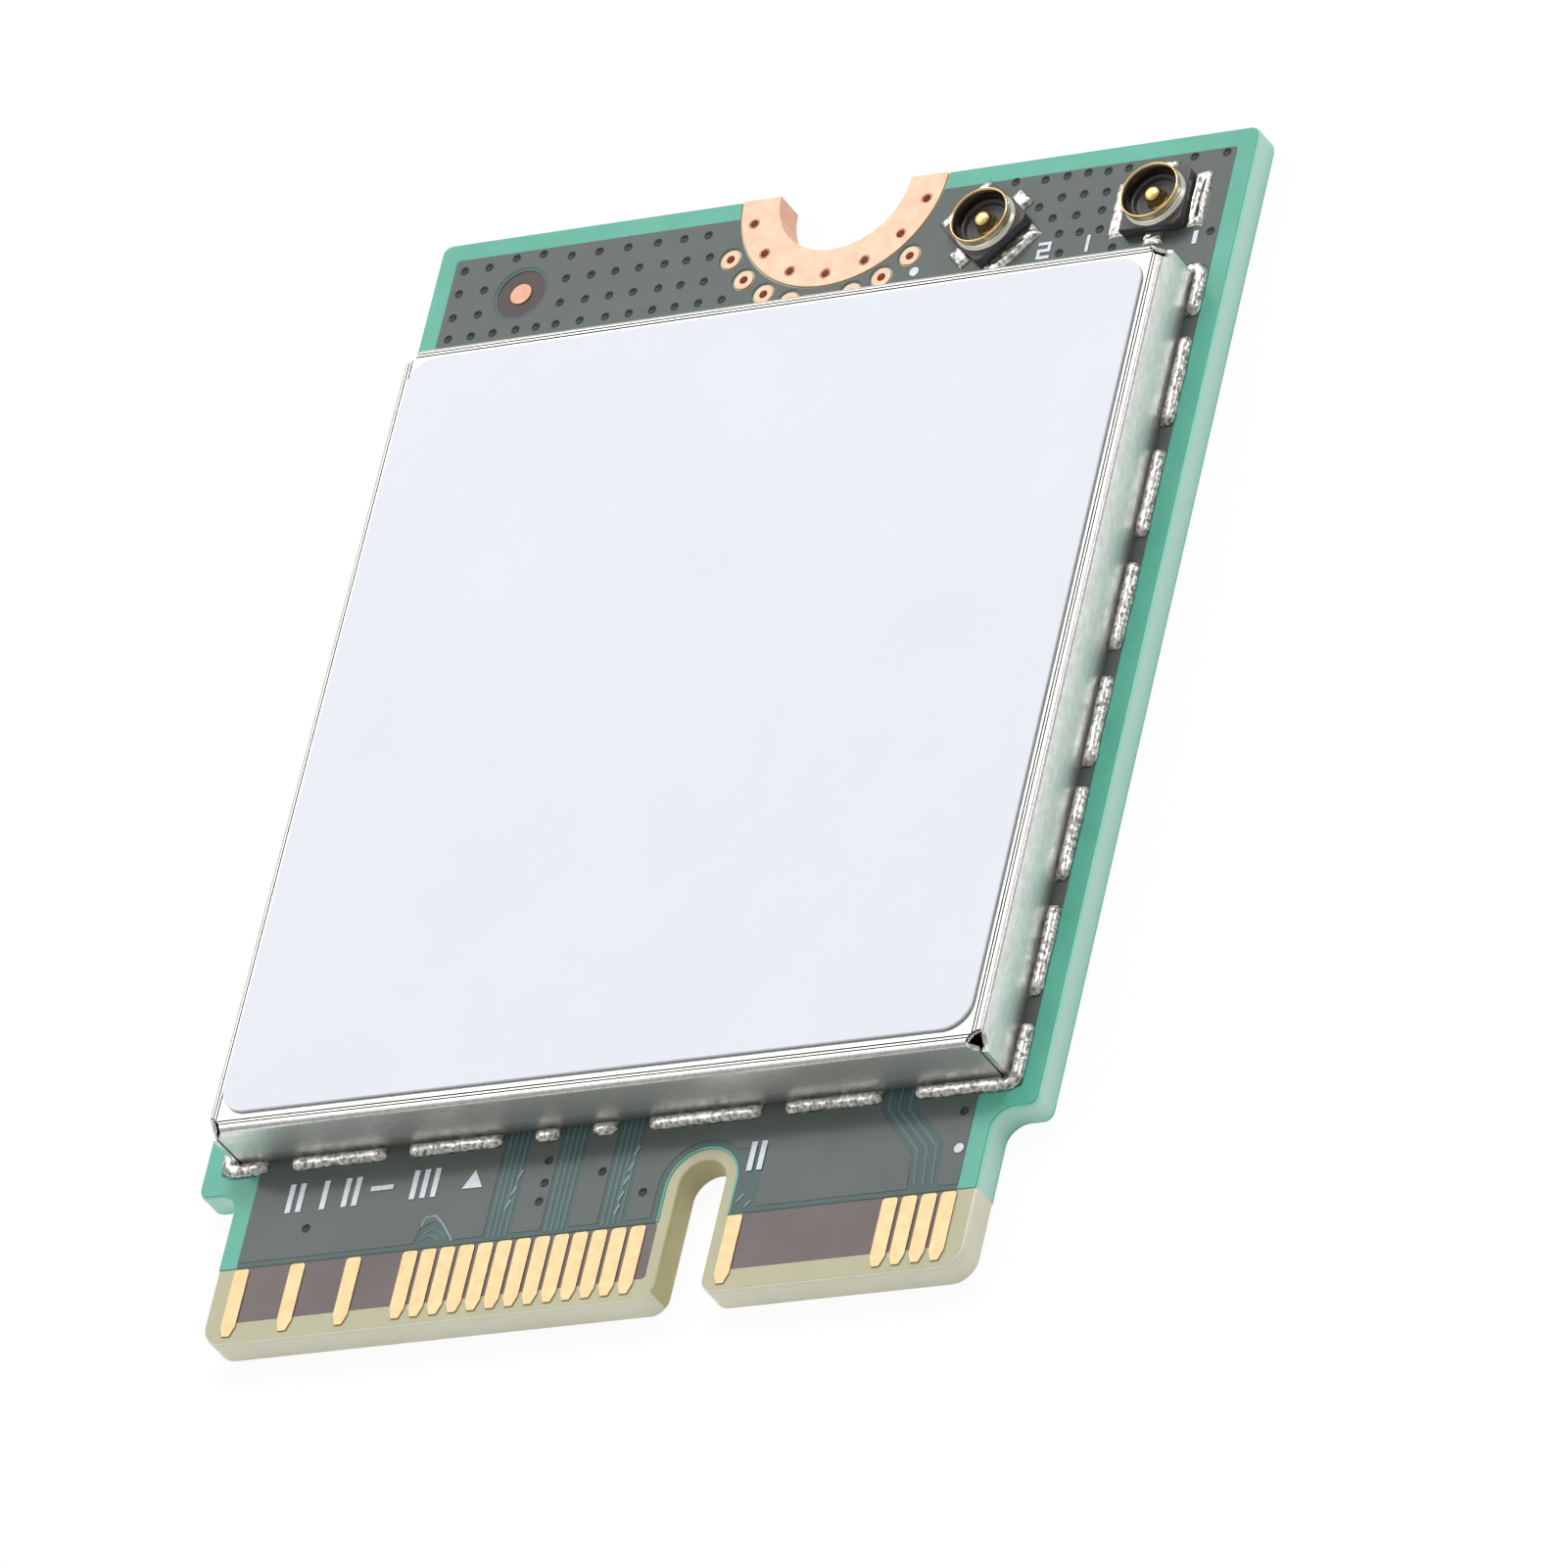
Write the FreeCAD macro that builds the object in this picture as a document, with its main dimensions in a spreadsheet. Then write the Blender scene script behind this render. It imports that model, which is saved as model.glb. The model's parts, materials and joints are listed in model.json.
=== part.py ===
import FreeCAD, Part
import os
import re

# Laptop wifi card: a 22 x 30 mm plug-in radio card with an edge connector of key E.
# Frame: the origin is the centre of the card's underside. +X runs along the contact row towards
# pin 1, +Y runs from the contact edge to the mounting notch, and +Z rises out of the component
# face. Lengths are millimetres and angles are degrees.

SIZES = {
    # circuit board
    "board_width": 22.0,
    "board_length": 30.0,
    "board_thickness": 0.8,  # over the copper lands of both faces
    "skin_thickness": 0.035,  # copper lands and solder mask, on each face
    "tongue_side": 0.675,  # beside the centre of the last pin on each side
    "tongue_length": 4.0,
    "shoulder_radius": 0.5,
    "tongue_corner": 0.35,  # chamfer of the tongue's corners
    # key slot
    "key_pin": 27.5,  # pin number at the slot's centre
    "key_width": 1.2,
    "key_depth": 3.5,
    "key_mouth": 0.25,  # chamfer of the slot's mouth
    # mounting notch
    "notch_radius": 1.75,  # inside its plating
    "notch_plating": 0.05,
    "land_radius": 2.75,
    # solder mask
    "mask_start": 2.0,  # from the contact edge
    "mask_gap": 0.05,  # round each land
    "slot_margin": 0.3,  # bare laminate round the key slot
    "low_mask_inset": 0.005,  # face of the underside's mask, inside its contacts
    # contacts
    "pin_step": 0.25,  # between pin numbers, which alternate between the faces
    "centre_pin": 38,
    "contact_width": 0.4,
    "contact_start": 0.2,  # from the contact edge
    "contact_gap": 0.05,  # from a contact's round end to the mask
    "contact_tip": 0.25,  # length of the narrowing tip
    "contact_tip_width": 0.2,
    # via holes beside the mounting notch
    "via_radius": 0.11,
    "via_plating": 0.035,
    "via_land_radius": 0.245,
    "inner_via_inset": 0.33,  # inside the mounting land's rim
    "inner_via_step": 24.5,
    "outer_via_gap": 0.43,  # outside the mounting land's rim
    "outer_via_first": 15.2,  # from the card's centre line
    "outer_via_step": 14.7,
    # tented stitching vias, each a sunk cap in the mask
    "cap_radius": 0.1,
    "cap_depth": 0.012,  # below the mask's face
    # fiducial mark
    "mark_from_side": 2.55,
    "mark_from_end": 1.72,
    "mark_radius": 0.28,
    "mark_opening": 0.65,
    # shield can
    "can_side": 0.85,  # from each side of the board
    "can_front": 4.79,  # from the contact edge
    "can_back": 4.01,  # from the notch end
    "can_height": 1.42,
    "can_sheet": 0.12,
    "can_bend": 0.15,
    "can_relief": 0.38,  # corner relief hole, as folded
    "can_seam": 0.06,
    # solder along the can's foot
    "bead_width": 0.36,  # out from the can's wall, at the board
    "bead_crest": 0.2,  # out from the can's wall, at the top
    "bead_height": 0.17,
    "bead_gap": 0.62,
    "bead_pitch": 3.0,
    "side_gap_first": 1.7,  # first gap on each side, from the can's front
    # label
    "label_left": 0.27,  # from the can's left side
    "label_right": 0.36,  # from the can's right side
    "label_front": 0.41,  # from the can's front
    "label_back": 0.36,  # from the can's back
    "label_thickness": 0.08,
    "label_corner": 0.7,
    # antenna sockets
    "socket_from_end": 1.85,
    "left_socket_from_side": 6.69,  # from the board's right side
    "left_socket_turn": -44.0,
    "right_socket_from_side": 2.2,  # from the board's right side
    "right_socket_turn": 0.0,
    "socket_rim": 0.05,  # of the base round the ring
    "socket_base_height": 0.3,
    "socket_well_step": 0.08,  # from the ring's bore to the well
    "socket_well_depth": 0.14,
    "ring_radius": 0.75,
    "ring_wall": 0.11,
    "ring_height": 0.32,
    "ring_groove": 0.05,
    "ring_groove_height": 0.07,
    "pin_radius": 0.21,
    "pin_height": 0.36,
    "ground_bar_width": 0.48,
    "ground_bar_length": 1.57,
    "signal_pad_width": 0.58,
    "signal_pad_length": 0.36,
    "pad_height": 0.13,
    # printed marks
    "print_thickness": 0.02,
    "stroke": 0.12,
    "print_bar_width": 0.14,
    "print_bar_height": 0.75,
    "pointer_radius": 0.31,
    "figure_stroke": 0.08,
    "figure_width": 0.34,
    "figure_height": 0.46,
    # parts under the can
    "joint_height": 0.05,  # solder under each part
    "radio_size": 8.0,
    "radio_height": 0.85,
    "radio_pad": 5.2,
    "radio_lead_width": 0.25,
    "radio_lead_length": 0.5,
    "radio_lead_pitch": 0.5,
    "radio_set_back": 1.6,  # from the can's middle, towards the contacts
    "front_end_size": 3.0,
    "front_end_height": 0.75,
    "front_end_gap": 1.3,  # beside the row of capacitors
    "front_end_from_back": 5.6,  # from the can's back
    "filter_length": 2.0,
    "filter_width": 1.25,
    "filter_height": 0.7,
    "filter_from_back": 2.3,
    "crystal_length": 2.0,
    "crystal_width": 2.5,
    "crystal_height": 0.55,
    "crystal_set_back": 1.8,  # from the radio chip's middle, towards the contacts
    "memory_length": 2.0,
    "memory_width": 3.0,
    "memory_height": 0.6,
    "memory_set_back": 2.2,  # from the radio chip's middle, towards the contacts
    "coil_length": 2.0,
    "coil_width": 1.6,
    "coil_height": 0.95,
    "chip_length": 1.0,  # small two-terminal parts
    "chip_width": 0.5,
    "chip_terminal": 0.22,
    "capacitor_height": 0.5,
    "resistor_height": 0.35,
    "chip_row_pitch": 1.1,
    "row_gap": 1.0,  # between the radio chip and the row before or behind it
    "neighbour_gap": 0.9,  # between the radio chip and the parts at its sides
}

# pins fitted on the component face, left and right of the key slot
TOP_LEFT_PINS = [75, 69, 63] + list(range(57, 31, -2))
TOP_RIGHT_PINS = [23, 7, 5, 3, 1]
BOTTOM_LEFT_PINS = list(range(74, 30, -2))
BOTTOM_RIGHT_PINS = list(range(22, 0, -2))

# gaps in the front bead of solder, where tracks run under the can: centre and extra width
FRONT_GAPS = [
    (-8.92, 0.0),
    (-5.75, 0.0),
    (-2.53, 0.2),
    (-1.02, 0.2),
    (0.47, 0.2),
    (4.12, 0.0),
    (7.35, 0.2),
]

# stitching vias left of the notch: for each row, its distance from the notch end and its columns
# from the left side; then two more beyond the fiducial mark
STITCH_ROWS = [
    (0.82, [0.78, 1.46, 3.73, 4.49, 5.28, 6.09, 6.81, 7.47]),
    (1.46, [0.78, 1.47, 3.73, 4.42, 5.08, 5.73, 6.42, 7.02, 7.66]),
    (2.14, [0.78, 1.47, 3.73, 4.42, 5.08, 5.73, 6.42, 7.02, 7.66]),
    (2.74, [0.8, 1.43, 2.03, 2.66, 3.22, 3.76, 4.42, 5.12, 5.76, 6.4, 7.01, 7.65, 8.28]),
]
MARK_VIAS = [(2.18, 0.67), (2.92, 0.66)]

# stitching vias round the antenna sockets: distances from the right side and the notch end
SOCKET_VIAS = [
    (6.32, 0.6),
    (5.52, 0.66),
    (4.94, 0.64),
    (4.39, 0.64),
    (3.85, 0.68),
    (3.31, 0.68),
    (5.52, 1.42),
    (4.96, 1.23),
    (4.37, 1.23),
    (3.77, 1.26),
    (5.08, 1.79),
    (4.45, 1.8),
    (3.78, 1.76),
    (4.8, 2.26),
    (4.25, 2.3),
    (3.72, 2.3),
    (4.68, 2.81),
    (3.27, 2.87),
    (1.59, 0.63),
    (0.74, 0.64),
    (0.7, 2.81),
]

# vias in the front strip: x, and distance from the contact edge
FRONT_VIAS = [
    (-7.78, 2.87),
    (-1.6, 3.96),
    (-1.57, 3.37),
    (-1.6, 2.89),
    (-0.08, 3.5),
    (1.14, 2.83),
    (9.16, 4.02),
]

# printed marks in the front strip: distances from the left side and the contact edge
PRINT_BARS = [(x, 3.7) for x in (2.6, 2.88, 3.52, 4.1, 4.38, 5.92, 6.2, 6.48)]
KEY_BARS = [(14.84, 3.45), (15.1, 3.45)]
PRINT_DASH = (5.05, 3.72)
PRINT_POINTER = (7.5, 3.6)
FRONT_DOT = (20.25, 3.05)

# printed marks beside the sockets: distances from the right side and the notch end
PRINT_ONE = (3.95, 2.66)
PRINT_TWO = (5.1, 2.69)
PRINT_TICK = (1.07, 2.93)
BACK_DOT = (8.53, 2.75)

OVERRUN = 1.0  # how far a cutting solid runs past the face that it opens

doc = FreeCAD.newDocument("WifiCard")
sheet = doc.addObject("Spreadsheet::Sheet", "Sizes")
nodes = []


def fill_sheet():
    """Write each size into a row of the sheet, under its own name."""
    for row, (name, value) in enumerate(SIZES.items(), start=1):
        sheet.set(f"A{row}", name)
        sheet.set(f"B{row}", str(value))
        sheet.setAlias(f"B{row}", name)
    doc.recompute()


def size(name):
    """A size as the sheet holds it."""
    return float(sheet.get(name))


def formula(text):
    """The text with each size's name written as a cell of the sheet."""
    return re.sub(
        r"[a-z][a-z_]*",
        lambda word: "Sizes." + word.group() if word.group() in SIZES else word.group(),
        text,
    )


def bind(thing, **sizes):
    """Tie properties of an object to formulas of the sheet's sizes."""
    for name, text in sizes.items():
        thing.setExpression(name, formula(text))


def place(thing, x="0", y="0", z="0", turn=None):
    """Tie an object's place, and its turn about the vertical, to the sheet."""
    thing.setExpression("Placement.Base.x", formula(x))
    thing.setExpression("Placement.Base.y", formula(y))
    thing.setExpression("Placement.Base.z", formula(z))
    if turn:
        thing.setExpression("Placement.Rotation.Angle", formula(f"({turn}) * 1 deg"))


def box(name, length, width, height, x, y, z):
    """A box from its size and its lowest corner."""
    thing = doc.addObject("Part::Box", name)
    bind(thing, Length=length, Width=width, Height=height)
    place(thing, x, y, z)
    return thing


def centred_box(name, length, width, height, x, y, z):
    """A box centred on x and y, standing on z."""
    return box(
        name,
        length,
        width,
        height,
        f"{x} - ({length}) / 2",
        f"{y} - ({width}) / 2",
        z,
    )


def cylinder(name, radius, height, x, y, z):
    """An upright cylinder standing on z."""
    thing = doc.addObject("Part::Cylinder", name)
    bind(thing, Radius=radius, Height=height)
    place(thing, x, y, z)
    return thing


def fuse(name, things):
    """One solid of several that meet."""
    thing = doc.addObject("Part::MultiFuse", name)
    thing.Shapes = things
    thing.Refine = True
    return thing


def group(name, things):
    """Several separate solids under one name."""
    thing = doc.addObject("Part::Compound", name)
    thing.Links = things
    return thing


def cut(name, base, tools):
    """A solid less the others."""
    thing = doc.addObject("Part::Cut", name)
    thing.Base = base
    thing.Tool = tools[0] if len(tools) == 1 else group(name + "_tools", tools)
    return thing


def node(thing, label):
    """Keep an object as one sub-part of the card."""
    thing.Label = label
    nodes.append(thing)
    return thing


# Heights and edges that many sub-parts share
EDGE = "(-board_length / 2)"  # contact edge
END = "(board_length / 2)"  # notch end
SIDE = "(board_width / 2)"  # right side
TONGUE_WIDTH = "(2 * (centre_pin - 1) * pin_step + 2 * tongue_side)"
TOP = "board_thickness"  # face of the mask and the lands
LAMINATE_TOP = "(board_thickness - skin_thickness)"
LAMINATE_THICKNESS = "(board_thickness - 2 * skin_thickness)"
KEY_X = "((centre_pin - key_pin) * pin_step)"
CAN_WIDTH = "(board_width - 2 * can_side)"
CAN_LENGTH = "(board_length - can_front - can_back)"
CAN_FRONT = "(-board_length / 2 + can_front)"
CAN_BACK = "(board_length / 2 - can_back)"
CAN_MIDDLE = "((can_front - can_back) / 2)"
CAN_TOP = "(board_thickness + can_height)"
INNER_VIAS = "(land_radius - inner_via_inset)"
OUTER_VIAS = "(land_radius + outer_via_gap)"
MARK_X = "(mark_from_side - board_width / 2)"
SOCKET_BASE = "(2 * (ring_radius + socket_rim))"


def board_outline(name, start, z, height):
    """The card's plan from a distance behind the contact edge, as a plate."""
    shoulder = f"({EDGE} + tongue_length)"
    plates = [
        box(
            name + "_wide",
            "board_width",
            "board_length - tongue_length",
            height,
            "-board_width / 2",
            shoulder,
            z,
        ),
        box(
            name + "_tongue",
            TONGUE_WIDTH,
            f"tongue_length - ({start})",
            height,
            f"-{TONGUE_WIDTH} / 2",
            f"{EDGE} + {start}",
            z,
        ),
    ]
    for side, sign in (("left", -1), ("right", 1)):
        corner = f"({sign} * {TONGUE_WIDTH} / 2)"
        square = centred_box(
            f"{name}_{side}_square",
            "shoulder_radius",
            "shoulder_radius",
            height,
            f"({corner} + {sign} * shoulder_radius / 2)",
            f"({shoulder} - shoulder_radius / 2)",
            z,
        )
        hollow = cylinder(
            f"{name}_{side}_hollow",
            "shoulder_radius",
            height,
            f"{corner} + {sign} * shoulder_radius",
            f"{shoulder} - shoulder_radius",
            z,
        )
        plates.append(cut(f"{name}_{side}_fillet", square, [hollow]))
    return fuse(name + "_plan", plates)


def key_slot(name, margin, z, height):
    """The key slot as a cutting solid, grown all round by a margin."""
    straight = box(
        name + "_straight",
        f"key_width + 2 * ({margin})",
        f"key_depth - key_width / 2 + {OVERRUN}",
        height,
        f"{KEY_X} - key_width / 2 - ({margin})",
        f"{EDGE} - {OVERRUN}",
        z,
    )
    crown = cylinder(
        name + "_crown",
        f"key_width / 2 + ({margin})",
        height,
        KEY_X,
        f"{EDGE} + key_depth - key_width / 2",
        z,
    )
    return fuse(name, [straight, crown])


def corner_chamfer(name, reach, x, z, height):
    """A square prism turned to 45 degrees, which cuts a chamfer at a corner of the contact edge."""
    thing = doc.addObject("Part::Prism", name)
    thing.Polygon = 4
    bind(thing, Circumradius=reach, Height=height)
    place(thing, x, EDGE, z)
    return thing


def notch_circle(name, radius, z, height):
    """An upright cylinder on the mounting notch's centre."""
    return cylinder(name, radius, height, "0", END, z)


def inner_via_places():
    """Seven vias in the mounting land, evenly round its half circle."""
    for step in range(-3, 4):
        angle = f"({step} * inner_via_step * 1 deg)"
        yield (
            f"({INNER_VIAS} * sin({angle}))",
            f"({END} - {INNER_VIAS} * cos({angle}))",
        )


def outer_via_places():
    """Vias outside the mounting land: four on the left, three on the right of the centre line."""
    for side, count in ((-1, 4), (1, 3)):
        for step in range(count):
            angle = f"((outer_via_first + {step} * outer_via_step) * 1 deg)"
            yield (
                f"({side} * {OUTER_VIAS} * sin({angle}))",
                f"({END} - {OUTER_VIAS} * cos({angle}))",
            )


def stitch_places():
    """Stitching vias: rows on the left of the notch, rows round the sockets, and the front strip."""
    rows = [(aside, back) for back, columns in STITCH_ROWS for aside in columns]
    for aside, back in rows + MARK_VIAS:
        yield f"({aside} - {SIDE})", f"({END} - {back})"
    for aside, back in SOCKET_VIAS:
        yield f"({SIDE} - {aside})", f"({END} - {back})"
    for x, ahead in FRONT_VIAS:
        yield f"({x})", f"({EDGE} + {ahead})"


def circuit_board():
    """Laminate plate with its tongue, key slot, mounting notch and drilled vias."""
    z = "skin_thickness"
    height = LAMINATE_THICKNESS
    low = f"skin_thickness - {OVERRUN}"
    tall = f"board_thickness + 2 * {OVERRUN}"
    tools = [
        key_slot("board_key", "0", low, tall),
        notch_circle("board_notch", "notch_radius + notch_plating", low, tall),
        corner_chamfer("board_left_corner", "tongue_corner", f"-{TONGUE_WIDTH} / 2", low, tall),
        corner_chamfer("board_right_corner", "tongue_corner", f"{TONGUE_WIDTH} / 2", low, tall),
        corner_chamfer("board_key_left", "key_mouth", f"{KEY_X} - key_width / 2", low, tall),
        corner_chamfer("board_key_right", "key_mouth", f"{KEY_X} + key_width / 2", low, tall),
    ]
    drills = list(inner_via_places()) + list(outer_via_places())
    for number, (x, y) in enumerate(drills, start=1):
        tools.append(cylinder(f"board_drill_{number}", "via_radius + via_plating", tall, x, y, low))
    node(cut("board", board_outline("board", "0", z, height), tools), "circuit_board")


def solder_mask(label, z, thickness):
    """Mask film of one face: it stops short of the contacts, the slot and each land."""
    low = f"{z} - {OVERRUN}"
    tall = f"skin_thickness + 2 * {OVERRUN}"
    tools = [
        key_slot(label + "_key", "slot_margin", low, tall),
        notch_circle(label + "_notch", "land_radius + mask_gap", low, tall),
    ]
    for number, (x, y) in enumerate(outer_via_places(), start=1):
        tools.append(
            cylinder(f"{label}_land_{number}", "via_land_radius + mask_gap", tall, x, y, low)
        )
    for number, (x, y) in enumerate(stitch_places(), start=1):
        tools.append(cylinder(f"{label}_cap_{number}", "cap_radius", tall, x, y, low))
    if label == "solder_mask_top":
        tools.append(
            cylinder(label + "_mark", "mark_opening", tall, MARK_X, f"{END} - mark_from_end", low)
        )
    film = board_outline(label, "mask_start", z, thickness)
    node(cut(label + "_film", film, tools), label)


def mounting_ring():
    """Bare copper lands of both faces, joined by the plated wall of the half-round notch."""
    copper = fuse(
        "ring_copper",
        [
            notch_circle("ring_top", "land_radius", LAMINATE_TOP, "skin_thickness"),
            notch_circle("ring_bottom", "land_radius", "0", "skin_thickness"),
            notch_circle("ring_wall", "notch_radius + notch_plating", "0", "board_thickness"),
        ],
    )
    low = f"-{OVERRUN}"
    tall = f"board_thickness + 2 * {OVERRUN}"
    tools = [
        notch_circle("ring_bore", "notch_radius", low, tall),
        centred_box(
            "ring_beyond",
            "4 * land_radius",
            "4 * land_radius",
            tall,
            "0",
            f"({END} + 2 * land_radius)",
            low,
        ),
    ]
    for number, (x, y) in enumerate(inner_via_places(), start=1):
        tools.append(cylinder(f"ring_drill_{number}", "via_radius + via_plating", tall, x, y, low))
    node(cut("ring", copper, tools), "mounting_ring")


def land_vias():
    """Plated barrels of the open vias, those outside the mounting land with lands of their own."""
    barrels = []
    low = f"-{OVERRUN}"
    tall = f"board_thickness + 2 * {OVERRUN}"
    for number, (x, y) in enumerate(inner_via_places(), start=1):
        wall = cylinder(
            f"inner_via_{number}_wall", "via_radius + via_plating", "board_thickness", x, y, "0"
        )
        hole = cylinder(f"inner_via_{number}_hole", "via_radius", tall, x, y, low)
        barrels.append(cut(f"inner_via_{number}", wall, [hole]))
    for number, (x, y) in enumerate(outer_via_places(), start=1):
        name = f"outer_via_{number}"
        solid = fuse(
            name + "_solid",
            [
                cylinder(
                    name + "_wall", "via_radius + via_plating", "board_thickness", x, y, "0"
                ),
                cylinder(name + "_top", "via_land_radius", "skin_thickness", x, y, LAMINATE_TOP),
                cylinder(name + "_low", "via_land_radius", "skin_thickness", x, y, "0"),
            ],
        )
        hole = cylinder(name + "_hole", "via_radius", tall, x, y, low)
        barrels.append(cut(name, solid, [hole]))
    node(group("via_barrels", barrels), "land_vias")


def stitching_vias():
    """Tented vias, seen as small caps a little below the mask's face on both sides."""
    caps = []
    for number, (x, y) in enumerate(stitch_places(), start=1):
        for face, z in (("top", LAMINATE_TOP), ("low", "cap_depth")):
            caps.append(
                cylinder(
                    f"stitch_{face}_{number}",
                    "cap_radius",
                    "skin_thickness - cap_depth",
                    x,
                    y,
                    z,
                )
            )
    node(group("stitches", caps), "stitching_vias")


def fiducial_mark():
    """Round copper target in its own opening of the mask."""
    mark = cylinder(
        "mark", "mark_radius", "skin_thickness", MARK_X, f"{END} - mark_from_end", LAMINATE_TOP
    )
    node(mark, "fiducial_mark")


def contact(name, pin, z):
    """One gold contact: round at the board end and narrowed at the tip."""
    x = f"((centre_pin - {pin}) * pin_step)"
    tip = doc.addObject("Part::Wedge", name + "_tip")
    bind(
        tip,
        Xmin="-contact_tip_width / 2",
        Xmax="contact_tip_width / 2",
        Zmin="0",
        Zmax="skin_thickness",
        Ymin="contact_start",
        Ymax="contact_start + contact_tip",
        X2min="-contact_width / 2",
        X2max="contact_width / 2",
        Z2min="0",
        Z2max="skin_thickness",
    )
    place(tip, x, EDGE, z)
    strip = box(
        name + "_strip",
        "contact_width",
        "mask_start - contact_gap - contact_width / 2 - contact_start - contact_tip",
        "skin_thickness",
        f"{x} - contact_width / 2",
        f"{EDGE} + contact_start + contact_tip",
        z,
    )
    end = cylinder(
        name + "_end",
        "contact_width / 2",
        "skin_thickness",
        x,
        f"{EDGE} + mask_start - contact_gap - contact_width / 2",
        z,
    )
    return fuse(name, [tip, strip, end])


def contacts():
    """The four rows of gold contacts, two on each face."""
    rows = (
        ("top_contacts_left", TOP_LEFT_PINS, LAMINATE_TOP),
        ("top_contacts_right", TOP_RIGHT_PINS, LAMINATE_TOP),
        ("bottom_contacts_left", BOTTOM_LEFT_PINS, "0"),
        ("bottom_contacts_right", BOTTOM_RIGHT_PINS, "0"),
    )
    for label, pins, z in rows:
        node(group(label + "_row", [contact(f"contact_{pin}", pin, z) for pin in pins]), label)


def edges_of(feature, wanted):
    """Names of the edges of a feature that a test picks."""
    return [
        f"Edge{number}"
        for number, edge in enumerate(feature.Shape.Edges, start=1)
        if wanted(edge)
    ]


def shield_can():
    """Five-sided can folded from one sheet, with relief holes at the corners of its bends."""
    body = doc.addObject("PartDesign::Body", "can")
    block = body.newObject("PartDesign::AdditiveBox", "can_block")
    bind(block, Length=CAN_WIDTH, Width=CAN_LENGTH, Height="can_height")
    doc.recompute()
    crest = block.Shape.BoundBox.ZMax
    bends = body.newObject("PartDesign::Fillet", "can_bends")
    at_crest = lambda edge: edge.BoundBox.ZMin > crest - 1e-6
    bends.Base = (block, edges_of(block, at_crest))
    bind(bends, Radius="can_bend")
    doc.recompute()
    hollow = body.newObject("PartDesign::SubtractiveBox", "can_hollow")
    bind(
        hollow,
        Length=f"{CAN_WIDTH} - 2 * can_sheet",
        Width=f"{CAN_LENGTH} - 2 * can_sheet",
        Height="can_height - can_sheet",
    )
    place(hollow, "can_sheet", "can_sheet", "0")
    doc.recompute()
    ceiling = crest - size("can_sheet")
    at_ceiling = lambda edge: (
        abs(edge.BoundBox.ZMin - ceiling) < 1e-6 and abs(edge.BoundBox.ZMax - ceiling) < 1e-6
    )
    folds = body.newObject("PartDesign::Fillet", "can_folds")
    folds.Base = (hollow, edges_of(hollow, at_ceiling))
    bind(folds, Radius="can_bend - can_sheet")
    doc.recompute()
    for across in (0, 1):
        for along in (0, 1):
            relief = body.newObject("PartDesign::SubtractiveSphere", f"can_relief_{across}{along}")
            bind(relief, Radius="can_relief")
            place(relief, f"{across} * {CAN_WIDTH}", f"{along} * {CAN_LENGTH}", "can_height")
            seam = body.newObject("PartDesign::SubtractiveBox", f"can_seam_{across}{along}")
            bind(seam, Length="can_seam", Width="can_sheet", Height="can_height - can_bend")
            place(
                seam,
                f"can_sheet + {across} * ({CAN_WIDTH} - 2 * can_sheet - can_seam)",
                f"{along} * ({CAN_LENGTH} - can_sheet)",
                "0",
            )
    doc.recompute()
    place(body, f"-{CAN_WIDTH} / 2", CAN_FRONT, TOP)
    node(body, "shield_can")


def can_solder():
    """Beads of solder along the can's foot, with a gap at each break between its pads."""
    slope = doc.addObject("Part::Wedge", "bead_slope")
    bind(
        slope,
        Xmin=f"-{CAN_WIDTH} / 2 - bead_width",
        Xmax=f"{CAN_WIDTH} / 2 + bead_width",
        Zmin=f"-{CAN_LENGTH} - bead_width",
        Zmax="bead_width",
        Ymin="0",
        Ymax="bead_height",
        X2min=f"-{CAN_WIDTH} / 2 - bead_crest",
        X2max=f"{CAN_WIDTH} / 2 + bead_crest",
        Z2min=f"-{CAN_LENGTH} - bead_crest",
        Z2max="bead_crest",
    )
    slope.Placement = FreeCAD.Placement(
        FreeCAD.Vector(0, 0, 0), FreeCAD.Rotation(FreeCAD.Vector(1, 0, 0), 90)
    )
    place(slope, "0", CAN_FRONT, TOP)
    tall = "2 * bead_height"
    wide = "bead_width + 2 * can_sheet"
    tools = [
        box(
            "bead_can",
            CAN_WIDTH,
            CAN_LENGTH,
            tall,
            f"-{CAN_WIDTH} / 2",
            CAN_FRONT,
            f"{TOP} - bead_height / 2",
        )
    ]
    low = f"{TOP} - bead_height / 2"
    for number, (x, extra) in enumerate(FRONT_GAPS, start=1):
        tools.append(
            centred_box(
                f"bead_front_gap_{number}", f"bead_gap + {extra}", wide, tall, x, CAN_FRONT, low
            )
        )
    half_width = size("board_width") / 2 - size("can_side")
    back_gaps = int((half_width - size("bead_gap")) / size("bead_pitch"))
    for step in range(-back_gaps, back_gaps + 1):
        tools.append(
            centred_box(
                f"bead_back_gap_{step + back_gaps}",
                "bead_gap",
                wide,
                tall,
                f"({step} * bead_pitch)",
                CAN_BACK,
                low,
            )
        )
    length = size("board_length") - size("can_front") - size("can_back")
    side_gaps = int((length - size("side_gap_first") - size("bead_gap")) / size("bead_pitch"))
    for side, sign in (("left", -1), ("right", 1)):
        for step in range(side_gaps + 1):
            tools.append(
                centred_box(
                    f"bead_{side}_gap_{step}",
                    wide,
                    "bead_gap",
                    tall,
                    f"({sign} * {CAN_WIDTH} / 2)",
                    f"({CAN_FRONT} + side_gap_first + {step} * bead_pitch)",
                    low,
                )
            )
    node(cut("beads", slope, tools), "can_solder")


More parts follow.
